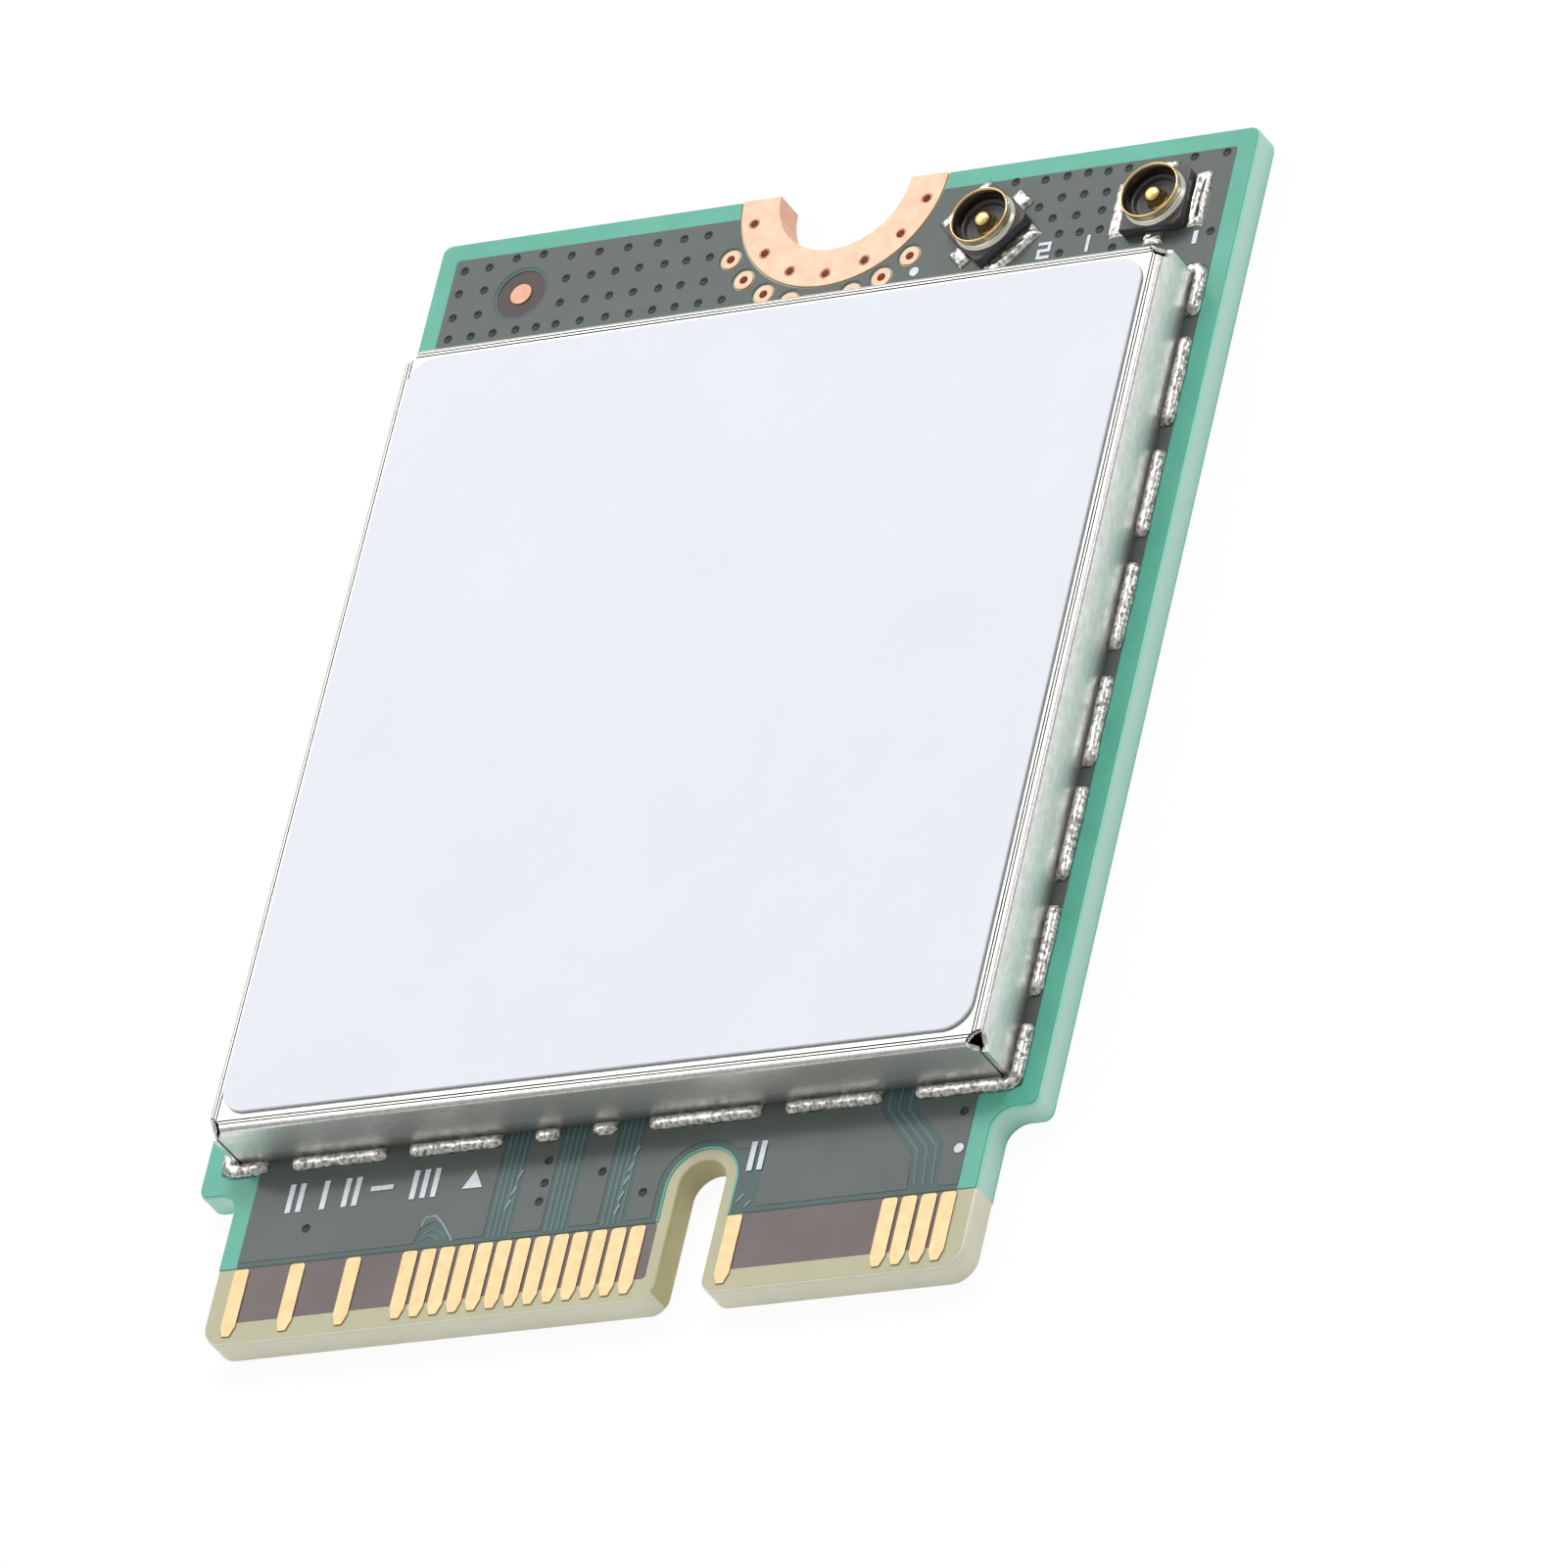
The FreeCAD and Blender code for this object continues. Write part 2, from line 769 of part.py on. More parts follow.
def can_label():
    """Blank rounded label on the can's top."""
    body = doc.addObject("PartDesign::Body", "sticker")
    block = body.newObject("PartDesign::AdditiveBox", "sticker_block")
    bind(
        block,
        Length=f"{CAN_WIDTH} - label_left - label_right",
        Width=f"{CAN_LENGTH} - label_front - label_back",
        Height="label_thickness",
    )
    doc.recompute()
    corners = body.newObject("PartDesign::Fillet", "sticker_corners")
    upright = lambda edge: abs(edge.Vertexes[0].Z - edge.Vertexes[-1].Z) > 1e-6
    corners.Base = (block, edges_of(block, upright))
    bind(corners, Radius="label_corner")
    doc.recompute()
    place(body, f"-{CAN_WIDTH} / 2 + label_left", f"{CAN_FRONT} + label_front", CAN_TOP)
    node(body, "can_label")


def socket_node(thing, label, side):
    """Set one piece of an antenna socket on the board, turned as that socket is."""
    place(
        thing,
        f"{SIDE} - {side}_socket_from_side",
        f"{END} - socket_from_end",
        TOP,
        f"{side}_socket_turn",
    )
    node(thing, label)


def antenna_socket(side):
    """One coaxial antenna socket: moulded base, ring contact, centre pin and its solder."""
    name = f"{side}_socket"
    block = centred_box(
        name + "_block", SOCKET_BASE, SOCKET_BASE, "socket_base_height", "0", "0", "0"
    )
    well = cylinder(
        name + "_well",
        "ring_radius - ring_wall - socket_well_step",
        "socket_base_height",
        "0",
        "0",
        "socket_base_height - socket_well_depth",
    )
    socket_node(cut(name + "_base_cut", block, [well]), f"{side}_antenna_base", side)

    foot = "socket_base_height"
    tube = cylinder(name + "_tube", "ring_radius", "ring_height", "0", "0", foot)
    bore = cylinder(
        name + "_bore", "ring_radius - ring_wall", "2 * ring_height", "0", "0", f"{foot} / 2"
    )
    groove_ring = doc.addObject("Part::Torus", name + "_groove")
    bind(groove_ring, Radius1="ring_radius + ring_groove_height / 2 - ring_groove")
    bind(groove_ring, Radius2="ring_groove_height / 2")
    place(groove_ring, "0", "0", f"{foot} + ring_height / 2")
    ring = cut(name + "_ring_cut", tube, [bore, groove_ring])
    socket_node(ring, f"{side}_antenna_ring", side)

    floor = "(socket_base_height - socket_well_depth)"
    shaft = cylinder(
        name + "_shaft", "pin_radius", "pin_height - pin_radius / 2", "0", "0", floor
    )
    dome = doc.addObject("Part::Ellipsoid", name + "_dome")
    bind(dome, Radius1="pin_radius / 2", Radius2="pin_radius", Radius3="pin_radius")
    place(dome, "0", "0", f"{floor} + pin_height - pin_radius / 2")
    socket_node(fuse(name + "_pin_solid", [shaft, dome]), f"{side}_antenna_pin", side)

    pads = []
    for number, sign in enumerate((-1, 1), start=1):
        pads.append(
            centred_box(
                f"{name}_bar_{number}",
                "ground_bar_width",
                "ground_bar_length",
                "pad_height",
                f"({sign} * ({SOCKET_BASE} + ground_bar_width) / 2)",
                "0",
                "0",
            )
        )
        pads.append(
            centred_box(
                f"{name}_pad_{number}",
                "signal_pad_width",
                "signal_pad_length",
                "pad_height",
                "0",
                f"({sign} * ({SOCKET_BASE} + signal_pad_length) / 2)",
                "0",
            )
        )
    socket_node(group(name + "_pads", pads), f"{side}_antenna_solder", side)


def front_spot(aside, ahead):
    """A place in the front strip, from the left side and the contact edge."""
    return f"({aside} - {SIDE})", f"({EDGE} + {ahead})"


def back_spot(aside, back):
    """A place beside the sockets, from the right side and the notch end."""
    return f"({SIDE} - {aside})", f"({END} - {back})"


def stroke(name, spot, length, width, right="0", up="0"):
    """One printed stroke on the mask, centred on a mark's place or beside it."""
    x, y = spot
    return centred_box(
        name, length, width, "print_thickness", f"({x} + {right})", f"({y} + {up})", TOP
    )


def printed_marks():
    """Plain white print: bars, a pointer, dots, and the numbers of the two sockets."""
    marks = []
    for number, bar in enumerate(PRINT_BARS + KEY_BARS, start=1):
        name = f"print_bar_{number}"
        marks.append(stroke(name, front_spot(*bar), "print_bar_width", "print_bar_height"))
    marks.append(stroke("print_dash", front_spot(*PRINT_DASH), "5 * stroke", "stroke"))
    pointer = doc.addObject("Part::Prism", "print_pointer")
    pointer.Polygon = 3
    bind(pointer, Circumradius="pointer_radius", Height="print_thickness")
    pointer.Placement = FreeCAD.Placement(
        FreeCAD.Vector(0, 0, 0), FreeCAD.Rotation(FreeCAD.Vector(0, 0, 1), 90)
    )
    place(pointer, *front_spot(*PRINT_POINTER), TOP)
    marks.append(pointer)
    dots = [front_spot(*FRONT_DOT), back_spot(*BACK_DOT)]
    for number, (x, y) in enumerate(dots, start=1):
        marks.append(cylinder(f"print_dot_{number}", "stroke", "print_thickness", x, y, TOP))
    marks.append(stroke("print_tick", back_spot(*PRINT_TICK), "stroke", "3 * stroke"))
    marks.append(stroke("print_one", back_spot(*PRINT_ONE), "figure_stroke", "figure_height"))
    two = back_spot(*PRINT_TWO)
    rise = "((figure_height - figure_stroke) / 2)"
    aside = "((figure_width - figure_stroke) / 2)"
    figure_two = [
        stroke("print_two_foot", two, "figure_width", "figure_stroke", up=f"-{rise}"),
        stroke("print_two_middle", two, "figure_width", "figure_stroke"),
        stroke("print_two_head", two, "figure_width", "figure_stroke", up=rise),
        stroke("print_two_low", two, "figure_stroke", rise, f"-{aside}", f"-{rise} / 2"),
        stroke("print_two_high", two, "figure_stroke", rise, aside, f"{rise} / 2"),
    ]
    marks.append(fuse("print_two", figure_two))
    node(group("print", marks), "printed_marks")


JOINT_TOP = "(board_thickness + joint_height)"
RADIO_Y = f"({CAN_MIDDLE} - radio_set_back)"
CAPACITORS_Y = f"({RADIO_Y} + radio_size / 2 + row_gap + chip_length / 2)"
RESISTORS_Y = f"({RADIO_Y} - radio_size / 2 - row_gap - chip_length / 2)"
CAPACITORS = 6
RESISTORS = 8
CAPACITORS_END = f"({CAPACITORS - 1} / 2 * chip_row_pitch + chip_width / 2)"
RESISTORS_END = f"({RESISTORS - 1} / 2 * chip_row_pitch + chip_width / 2)"
FRONT_END_X = f"({CAPACITORS_END} + front_end_gap + front_end_size / 2)"
FRONT_END_Y = f"({CAN_BACK} - front_end_from_back)"
FILTER_Y = f"({CAN_BACK} - filter_from_back)"
CRYSTAL_X = "(-radio_size / 2 - neighbour_gap - crystal_length / 2)"
CRYSTAL_Y = f"({RADIO_Y} - crystal_set_back)"
MEMORY_X = "(radio_size / 2 + neighbour_gap + memory_length / 2)"
MEMORY_Y = f"({RADIO_Y} - memory_set_back)"
COIL_X = f"({RESISTORS_END} + neighbour_gap + coil_length / 2)"


def package(name, length, width, height, x, y):
    """A flat moulded package with a dot sunk beside its first terminal."""
    block = centred_box(name + "_block", length, width, height, x, y, JOINT_TOP)
    dot = cylinder(
        name + "_dot",
        f"({width}) / 12",
        f"({height}) / 4",
        f"{x} - ({length}) * 3 / 8",
        f"{y} + ({width}) * 3 / 8",
        f"{JOINT_TOP} + ({height}) * 7 / 8",
    )
    return cut(name, block, [dot])


def two_pads(name, length, width, pad, x, y):
    """Solder under the two ends of a small part."""
    return [
        centred_box(
            f"{name}_pad_{number}",
            pad,
            width,
            "joint_height",
            f"({x} + ({sign}) * ({length} - ({pad})) / 2)",
            y,
            TOP,
        )
        for number, sign in enumerate((-1, 1), start=1)
    ]


def chip_row_places(count, y):
    """Places of a row of small parts, centred on the card's middle line."""
    for step in range(count):
        yield f"(({step} - {(count - 1) / 2}) * chip_row_pitch)", y


def parts_under_the_can():
    """Radio chip, front ends, filters, crystal, memory, coil and the small parts, with solder."""
    joints = []

    node(
        package("radio", "radio_size", "radio_size", "radio_height", "0", RADIO_Y), "radio_chip"
    )
    joints.append(
        centred_box("radio_pad", "radio_pad", "radio_pad", "joint_height", "0", RADIO_Y, TOP)
    )
    leads = int((size("radio_size") - 2 * size("radio_lead_length")) / size("radio_lead_pitch"))
    lead_row = "((radio_size - radio_lead_length) / 2)"
    for step in range(leads):
        offset = f"(({step} - {(leads - 1) / 2}) * radio_lead_pitch)"
        for number, sign in enumerate((-1, 1), start=1):
            joints.append(
                centred_box(
                    f"radio_row_{number}_lead_{step}",
                    "radio_lead_width",
                    "radio_lead_length",
                    "joint_height",
                    offset,
                    f"({RADIO_Y} + {sign} * {lead_row})",
                    TOP,
                )
            )
            joints.append(
                centred_box(
                    f"radio_column_{number}_lead_{step}",
                    "radio_lead_length",
                    "radio_lead_width",
                    "joint_height",
                    f"({sign} * {lead_row})",
                    f"({RADIO_Y} + {offset})",
                    TOP,
                )
            )

    for side, sign in (("left", -1), ("right", 1)):
        x = f"({sign} * {FRONT_END_X})"
        node(
            package(
                f"{side}_front_end",
                "front_end_size",
                "front_end_size",
                "front_end_height",
                x,
                FRONT_END_Y,
            ),
            f"{side}_front_end_chip",
        )
        joints.append(
            centred_box(
                f"{side}_front_end_pad",
                "front_end_size * 2 / 3",
                "front_end_size * 2 / 3",
                "joint_height",
                x,
                FRONT_END_Y,
                TOP,
            )
        )
        x = f"({sign} * {FRONT_END_X})"
        block = centred_box(
            f"{side}_filter_block",
            "filter_length",
            "filter_width",
            "filter_height",
            x,
            FILTER_Y,
            JOINT_TOP,
        )
        node(block, f"{side}_antenna_filter")
        joints += two_pads(
            f"{side}_filter", "filter_length", "filter_width", "filter_length / 4", x, FILTER_Y
        )

    lid_rim = "crystal_width / 10"
    can = centred_box(
        "crystal_can",
        "crystal_length",
        "crystal_width",
        "crystal_height * 3 / 4",
        CRYSTAL_X,
        CRYSTAL_Y,
        JOINT_TOP,
    )
    lid = centred_box(
        "crystal_lid",
        f"crystal_length - 2 * {lid_rim}",
        f"crystal_width - 2 * {lid_rim}",
        "crystal_height / 4",
        CRYSTAL_X,
        CRYSTAL_Y,
        f"{JOINT_TOP} + crystal_height * 3 / 4",
    )
    node(fuse("crystal", [can, lid]), "reference_crystal")
    joints += two_pads(
        "crystal", "crystal_length", "crystal_width", "crystal_length / 4", CRYSTAL_X, CRYSTAL_Y
    )

    memory = package(
        "memory", "memory_length", "memory_width", "memory_height", MEMORY_X, MEMORY_Y
    )
    node(memory, "memory_chip")
    joints += two_pads(
        "memory", "memory_length", "memory_width", "memory_length / 6", MEMORY_X, MEMORY_Y
    )

    coil = centred_box(
        "coil", "coil_length", "coil_width", "coil_height", COIL_X, RESISTORS_Y, JOINT_TOP
    )
    node(coil, "power_inductor")
    joints += two_pads(
        "coil", "coil_length", "coil_width", "coil_length / 4", COIL_X, RESISTORS_Y
    )

    rows = (
        ("capacitor", "capacitors", CAPACITORS, CAPACITORS_Y, "capacitor_height"),
        ("resistor", "resistors", RESISTORS, RESISTORS_Y, "resistor_height"),
    )
    for kind, label, count, row_y, height in rows:
        blocks = []
        for number, (x, y) in enumerate(chip_row_places(count, row_y), start=1):
            name = f"{kind}_{number}"
            blocks.append(
                centred_box(name, "chip_width", "chip_length", height, x, y, JOINT_TOP)
            )
            for end, sign in (("front", -1), ("back", 1)):
                joints.append(
                    centred_box(
                        f"{name}_{end}_pad",
                        "chip_width",
                        "chip_terminal",
                        "joint_height",
                        x,
                        f"({y} + {sign} * (chip_length - chip_terminal) / 2)",
                        TOP,
                    )
                )
        node(group(label + "_row", blocks), label)

    node(group("joints", joints), "chip_solder")


def check(thing):
    """Stop if an object of the document failed, or a sub-part's shape isn't sound."""
    if "Invalid" in thing.State or "Error" in thing.State:
        raise RuntimeError(f"{thing.Name} failed: {thing.State}")


def write_parts():
    """Write each sub-part to a file of its own name."""
    for thing in doc.Objects:
        check(thing)
    for thing in nodes:
        if thing.Shape.isNull() or not thing.Shape.isValid() or not thing.Shape.Solids:
            raise RuntimeError(f"{thing.Label} has no sound shape")
    os.makedirs("parts", exist_ok=True)
    for thing in nodes:
        thing.Shape.exportStep(f"parts/{thing.Label}.step")
        box_of = thing.Shape.BoundBox
        print(
            f"{thing.Label}: {len(thing.Shape.Solids)} solids, {thing.Shape.Volume:.4f} mm3,"
            f" x {box_of.XMin:.3f} {box_of.XMax:.3f}, y {box_of.YMin:.3f} {box_of.YMax:.3f},"
            f" z {box_of.ZMin:.3f} {box_of.ZMax:.3f}"
        )


fill_sheet()
circuit_board()
solder_mask("solder_mask_top", LAMINATE_TOP, "skin_thickness")
solder_mask("solder_mask_bottom", "low_mask_inset", "skin_thickness - low_mask_inset")
mounting_ring()
land_vias()
stitching_vias()
fiducial_mark()
contacts()
shield_can()
can_solder()
can_label()
antenna_socket("left")
antenna_socket("right")
printed_marks()
parts_under_the_can()
doc.recompute()
write_parts()
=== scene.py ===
import bpy
import bmesh
import json
import math
from mathutils import Matrix, Vector, noise


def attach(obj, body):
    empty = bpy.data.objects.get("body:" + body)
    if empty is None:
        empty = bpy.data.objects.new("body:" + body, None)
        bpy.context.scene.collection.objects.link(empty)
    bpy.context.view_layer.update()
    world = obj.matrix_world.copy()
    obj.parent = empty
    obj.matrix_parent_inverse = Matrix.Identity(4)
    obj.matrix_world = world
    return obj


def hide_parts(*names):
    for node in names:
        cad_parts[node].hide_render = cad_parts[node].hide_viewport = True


# Laptop wifi card lying on a pale table. Shapes are worked out in millimetres in the card's own
# frame and scaled to metres: the origin is the centre of the underside, +X runs along the contact
# row towards pin 1, +Y towards the mounting notch, and +Z out of the component face.

MM = 0.001  # metres

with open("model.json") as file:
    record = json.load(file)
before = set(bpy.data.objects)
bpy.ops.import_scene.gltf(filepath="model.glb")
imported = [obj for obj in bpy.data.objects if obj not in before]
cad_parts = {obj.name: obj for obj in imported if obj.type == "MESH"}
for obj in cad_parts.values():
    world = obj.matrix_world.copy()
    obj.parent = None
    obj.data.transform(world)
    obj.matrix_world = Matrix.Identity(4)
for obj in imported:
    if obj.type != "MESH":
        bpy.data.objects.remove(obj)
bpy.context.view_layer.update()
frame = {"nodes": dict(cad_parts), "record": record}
scene = bpy.context.scene

# Board
HALF_WIDTH = 11.0
EDGE = -15.0  # contact edge
END = 15.0  # notch end
TOP = 0.8
SKIN = 0.035  # copper and mask on each face
LAMINATE = (SKIN, TOP - SKIN)
TONGUE = 9.925  # half its width
SHOULDER = EDGE + 4.0
SHOULDER_RADIUS = 0.5
TONGUE_CORNER = 0.35  # cut off each corner of the contact edge
OUTER_CORNER = 0.22  # radius of the four outer corners
KEY_X = 2.625
KEY_WIDTH = 1.2
KEY_TOP = EDGE + 3.5
NOTCH = 1.8  # radius in the laminate
NOTCH_BORE = 1.75  # inside its plating
LAND = 2.75  # radius of the mounting land
LAND_OPENING = LAND + 0.05  # in the mask
MASK_START = EDGE + 2.0
MASK_INSET = 0.03  # from the board's edges to the mask
FIELD_INSET = 0.5  # from the board's edges to the ground copper

# Shield can
CAN = (-10.15, 10.15, -10.21, 10.99)  # left, right, front, back
CAN_TOP = 2.22
LABEL_TOP = 2.3

# Antenna sockets: centre and turn
SOCKETS = {"left": (4.31, 13.15, -44.0), "right": (8.8, 13.15, 0.0)}


# Colours, as sRGB values of 0 to 255

def rgb(red, green, blue):
    """A colour for a shader from its sRGB values."""
    def linear(value):
        value /= 255
        return value / 12.92 if value <= 0.04045 else ((value + 0.055) / 1.055) ** 2.4
    return (linear(red), linear(green), linear(blue), 1.0)


# Materials

class Nodes:
    """A material under construction, with short calls for the nodes that the materials share."""

    def __init__(self, name):
        self.material = bpy.data.materials.new(name)
        self.material.use_nodes = True
        self.tree = self.material.node_tree
        self.shader = self.tree.nodes["Principled BSDF"]
        self.place = self.tree.nodes.new("ShaderNodeTexCoord").outputs["Object"]

    def set(self, **values):
        """Plain values of the shader's sockets; an underscore stands for a space."""
        for name, value in values.items():
            self.shader.inputs[name.replace("_", " ")].default_value = value
        return self

    def link(self, output, name):
        self.tree.links.new(output, self.shader.inputs[name])

    def noise(self, size, detail=3.0, stretch=(1, 1, 1)):
        """Noise with features about this size in millimetres, longer along the stretched axes."""
        mapping = self.tree.nodes.new("ShaderNodeMapping")
        mapping.inputs["Scale"].default_value = [1 / (size * MM * s) for s in stretch]
        self.tree.links.new(self.place, mapping.inputs["Vector"])
        node = self.tree.nodes.new("ShaderNodeTexNoise")
        node.inputs["Scale"].default_value = 1.0
        node.inputs["Detail"].default_value = detail
        node.inputs["Roughness"].default_value = 0.55
        self.tree.links.new(mapping.outputs["Vector"], node.inputs["Vector"])
        return node.outputs["Fac"]

    def ramp(self, value, *stops):
        """Colours or grey levels along a value: pairs of a position and a colour or a number."""
        node = self.tree.nodes.new("ShaderNodeValToRGB")
        ramp = node.color_ramp
        while len(ramp.elements) < len(stops):
            ramp.elements.new(0.5)
        for element, (position, color) in zip(ramp.elements, stops):
            element.position = position
            element.color = color if isinstance(color, tuple) else (color, color, color, 1.0)
        self.tree.links.new(value, node.inputs["Fac"])
        return node.outputs["Color"]

    def mix(self, factor, first, second):
        """From one colour to another by a factor; each is plain or another node's value."""
        node = self.tree.nodes.new("ShaderNodeMix")
        node.data_type = "RGBA"
        for socket, value in ((node.inputs[0], factor), (node.inputs[6], first),
                              (node.inputs[7], second)):
            if isinstance(value, bpy.types.NodeSocket):
                self.tree.links.new(value, socket)
            else:
                socket.default_value = value
        return node.outputs[2]

    def along(self, axis, low, high):
        """Runs from 0 to 1 as one coordinate goes from low to high, in millimetres."""
        split = self.tree.nodes.new("ShaderNodeSeparateXYZ")
        self.tree.links.new(self.place, split.inputs[0])
        node = self.tree.nodes.new("ShaderNodeMapRange")
        node.inputs["From Min"].default_value = low * MM
        node.inputs["From Max"].default_value = high * MM
        self.tree.links.new(split.outputs[axis], node.inputs["Value"])
        return node.outputs["Result"]

    def bump(self, height, strength, depth):
        """Relief of a depth in millimetres from a height value."""
        node = self.tree.nodes.new("ShaderNodeBump")
        node.inputs["Strength"].default_value = strength
        node.inputs["Distance"].default_value = depth * MM
        self.tree.links.new(height, node.inputs["Height"])
        self.link(node.outputs["Normal"], "Normal")
        return self


def laminate_material(name, first, second, fibre):
    """Bare glass-fibre laminate: straw coloured, with a faint weave."""
    made = Nodes(name).set(Roughness=0.42, IOR=1.5)
    weave = made.noise(0.35, stretch=(1, 4, 1))
    tone = made.ramp(made.noise(2.5), (0.3, first), (0.7, second))
    made.link(made.mix(made.ramp(weave, (0.4, 0.0), (0.7, 0.3)), tone, fibre), "Base Color")
    return made.bump(weave, 0.2, 0.006).material


def edge_material():
    """Sawn side of the masked board: pale grey-green, greener beside the mask of both faces."""
    made = Nodes("board_side").set(Roughness=0.5, IOR=1.5)
    layers = made.ramp(
        made.along("Z", 0.0, TOP),
        (0.0, rgb(136, 218, 202)),
        (0.22, rgb(170, 227, 214)),
        (0.55, rgb(193, 232, 217)),
        (0.82, rgb(186, 236, 219)),
        (1.0, rgb(130, 229, 198)),
    )
    fibres = made.noise(0.25, stretch=(3, 3, 0.5))
    made.link(made.mix(made.ramp(fibres, (0.45, 0.0), (0.75, 0.3)), layers, rgb(214, 232, 216)),
              "Base Color")
    return made.bump(fibres, 0.35, 0.012).material


def mask_material(name, first, second, roughness=0.2):
    """Solder mask: a satin film, mottled between two close tones."""
    made = Nodes(name).set(Roughness=roughness, IOR=1.5)
    made.link(made.ramp(made.noise(1.6), (0.35, first), (0.65, second)), "Base Color")
    return made.bump(made.noise(0.12), 0.1, 0.003).material


def metal_material(name, dark, bright, roughness, grain, depth, rough_spread=0.12):
    """Metal mottled between two tones, with a grain of a given size and depth. The darker tone is
    rougher by the spread."""
    made = Nodes(name).set(Metallic=1.0)
    pattern = made.noise(grain, detail=4.0)
    made.link(made.ramp(pattern, (0.35, dark), (0.65, bright)), "Base Color")
    made.link(made.ramp(pattern, (0.3, roughness + rough_spread), (0.7, roughness)), "Roughness")
    return made.bump(pattern, 0.5, depth).material


def can_wall_material():
    """Side of the tinned sheet: duller than its top but painted lighter as painted light, with
    painted shade darkening it along its foot.
    """
    made = Nodes("tinned_wall_painted_light_and_shade").set(Metallic=0.85)
    pattern = made.noise(0.16, detail=4.0, stretch=(2.0, 2.0, 1.0))
    # Painted light: the wall's tones are lighter than those of the top of the same sheet.
    sheet = made.ramp(pattern, (0.35, rgb(234, 234, 231)), (0.65, rgb(254, 254, 251)))
    # Painted shade: darker towards the foot of the wall, beside the solder.
    foot_shade = made.ramp(made.along("Z", TOP, TOP + 0.4), (0.0, 0.7), (0.3, 0.5), (1.0, 0.0))
    made.link(made.mix(foot_shade, sheet, rgb(96, 90, 76)), "Base Color")
    made.link(made.ramp(pattern, (0.3, 0.5), (0.7, 0.36)), "Roughness")
    return made.bump(pattern, 0.5, 0.006).material


def ring_material():
    """Plating of a socket's ring contact: silvery, with a golden lip."""
    made = Nodes("socket_plating").set(Metallic=1.0, Roughness=0.18)
    lip = made.ramp(made.along("Z", TOP + 0.5, TOP + 0.6), (0.2, 0.0), (0.8, 1.0))
    made.link(made.mix(lip, rgb(236, 230, 214), rgb(226, 194, 132)), "Base Color")
    return made.bump(made.noise(0.2), 0.4, 0.002).material


def plain_material(name, first, second, roughness, size, depth, specular=0.5):
    """Moulded, printed or ceramic surface: two close tones with a fine tooth."""
    made = Nodes(name).set(Roughness=roughness, Specular_IOR_Level=specular)
    made.link(made.ramp(made.noise(size), (0.3, first), (0.7, second)), "Base Color")
    return made.bump(made.noise(size / 4), 0.3, depth).material


LAMINATE_LOOK = laminate_material(
    "bare_laminate", rgb(190, 187, 154), rgb(180, 178, 146), rgb(172, 168, 132))
# Lit copies of the laminate: its outer sides and slot walls are painted lighter than its top, as
# painted light for the upright faces.
LAMINATE_SIDE_LIT_LOOK = laminate_material(
    "laminate_side_painted_light", rgb(238, 237, 214), rgb(230, 229, 206), rgb(220, 216, 186))
SLOT_WALL_LIT_LOOK = laminate_material(
    "slot_wall_painted_light", rgb(206, 198, 152), rgb(192, 184, 138), rgb(178, 168, 120))
EDGE_LOOK = edge_material()
BAND_LOOK = mask_material("mask_over_laminate", rgb(85, 177, 153), rgb(73, 167, 143))
FIELD_LOOK = mask_material("mask_over_copper", rgb(75, 85, 80), rgb(69, 79, 74))
CHANNEL_LOOK = mask_material("mask_over_inner_copper", rgb(52, 80, 78), rgb(46, 74, 72))
TRACK_LOOK = mask_material("mask_over_tracks", rgb(72, 104, 104), rgb(64, 96, 96))
# Painted highlight: the mask over the short bends of the tracks is painted much lighter.
BEND_HIGHLIGHT_LOOK = mask_material("painted_highlight_on_bends", rgb(128, 152, 152), rgb(118, 144, 144), 0.25)
# Painted shade: the mask in the dimples of tented vias is painted nearly black.
VIA_SHADE_LOOK = mask_material("painted_shade_in_vias", rgb(30, 38, 37), rgb(20, 27, 26), 0.5)
BROWN_LOOK = mask_material("inner_copper_under_laminate", rgb(104, 90, 90), rgb(94, 81, 81), 0.35)
DISC_LOOK = mask_material("inner_copper_round_mark", rgb(70, 52, 48), rgb(60, 46, 42), 0.4)
COPPER_LOOK = metal_material(
    "bare_copper", rgb(232, 188, 165), rgb(238, 196, 173), 0.6, 0.3, 0.002, 0.05)
# The fiducial's copper is a darker copy of the bare copper: painted shade on the mark.
MARK_SHADE_LOOK = metal_material(
    "mark_copper_painted_shade", rgb(212, 166, 147), rgb(218, 174, 155), 0.6, 0.3, 0.002, 0.05)
GOLD_LOOK = metal_material(
    "hard_gold", rgb(205, 179, 138), rgb(210, 185, 143), 0.42, 0.25, 0.001, 0.06)
# Top and bends of the tinned sheet, painted darker than its walls: painted shade in place of a
# dimmer lamp over the top.
CAN_TOP_SHADE_LOOK = metal_material(
    "tinned_top_painted_shade", rgb(205, 205, 202), rgb(227, 227, 224), 0.18, 0.11, 0.003, 0.1)
CAN_WALL_LIGHT_AND_SHADE_LOOK = can_wall_material()
# Painted shade: the inside of the can and the floors and walls of its pressed lines are painted
# dark.
CAN_INSIDE_SHADE_LOOK = metal_material(
    "painted_shade_in_can", rgb(70, 66, 62), rgb(84, 80, 76), 0.5, 0.2, 0.004)
SOLDER_LOOK = metal_material(
    "solder", rgb(132, 129, 118), rgb(252, 252, 249), 0.12, 0.1, 0.003, 0.14)
LABEL_LOOK = plain_material(
    "label_paper", rgb(228, 232, 238), rgb(226, 230, 236), 0.5, 3.0, 0.001, 0.3)
BASE_LOOK = plain_material("socket_moulding", rgb(78, 75, 78), rgb(66, 63, 66), 0.38, 0.4, 0.004)
SOCKET_LOOK = ring_material()
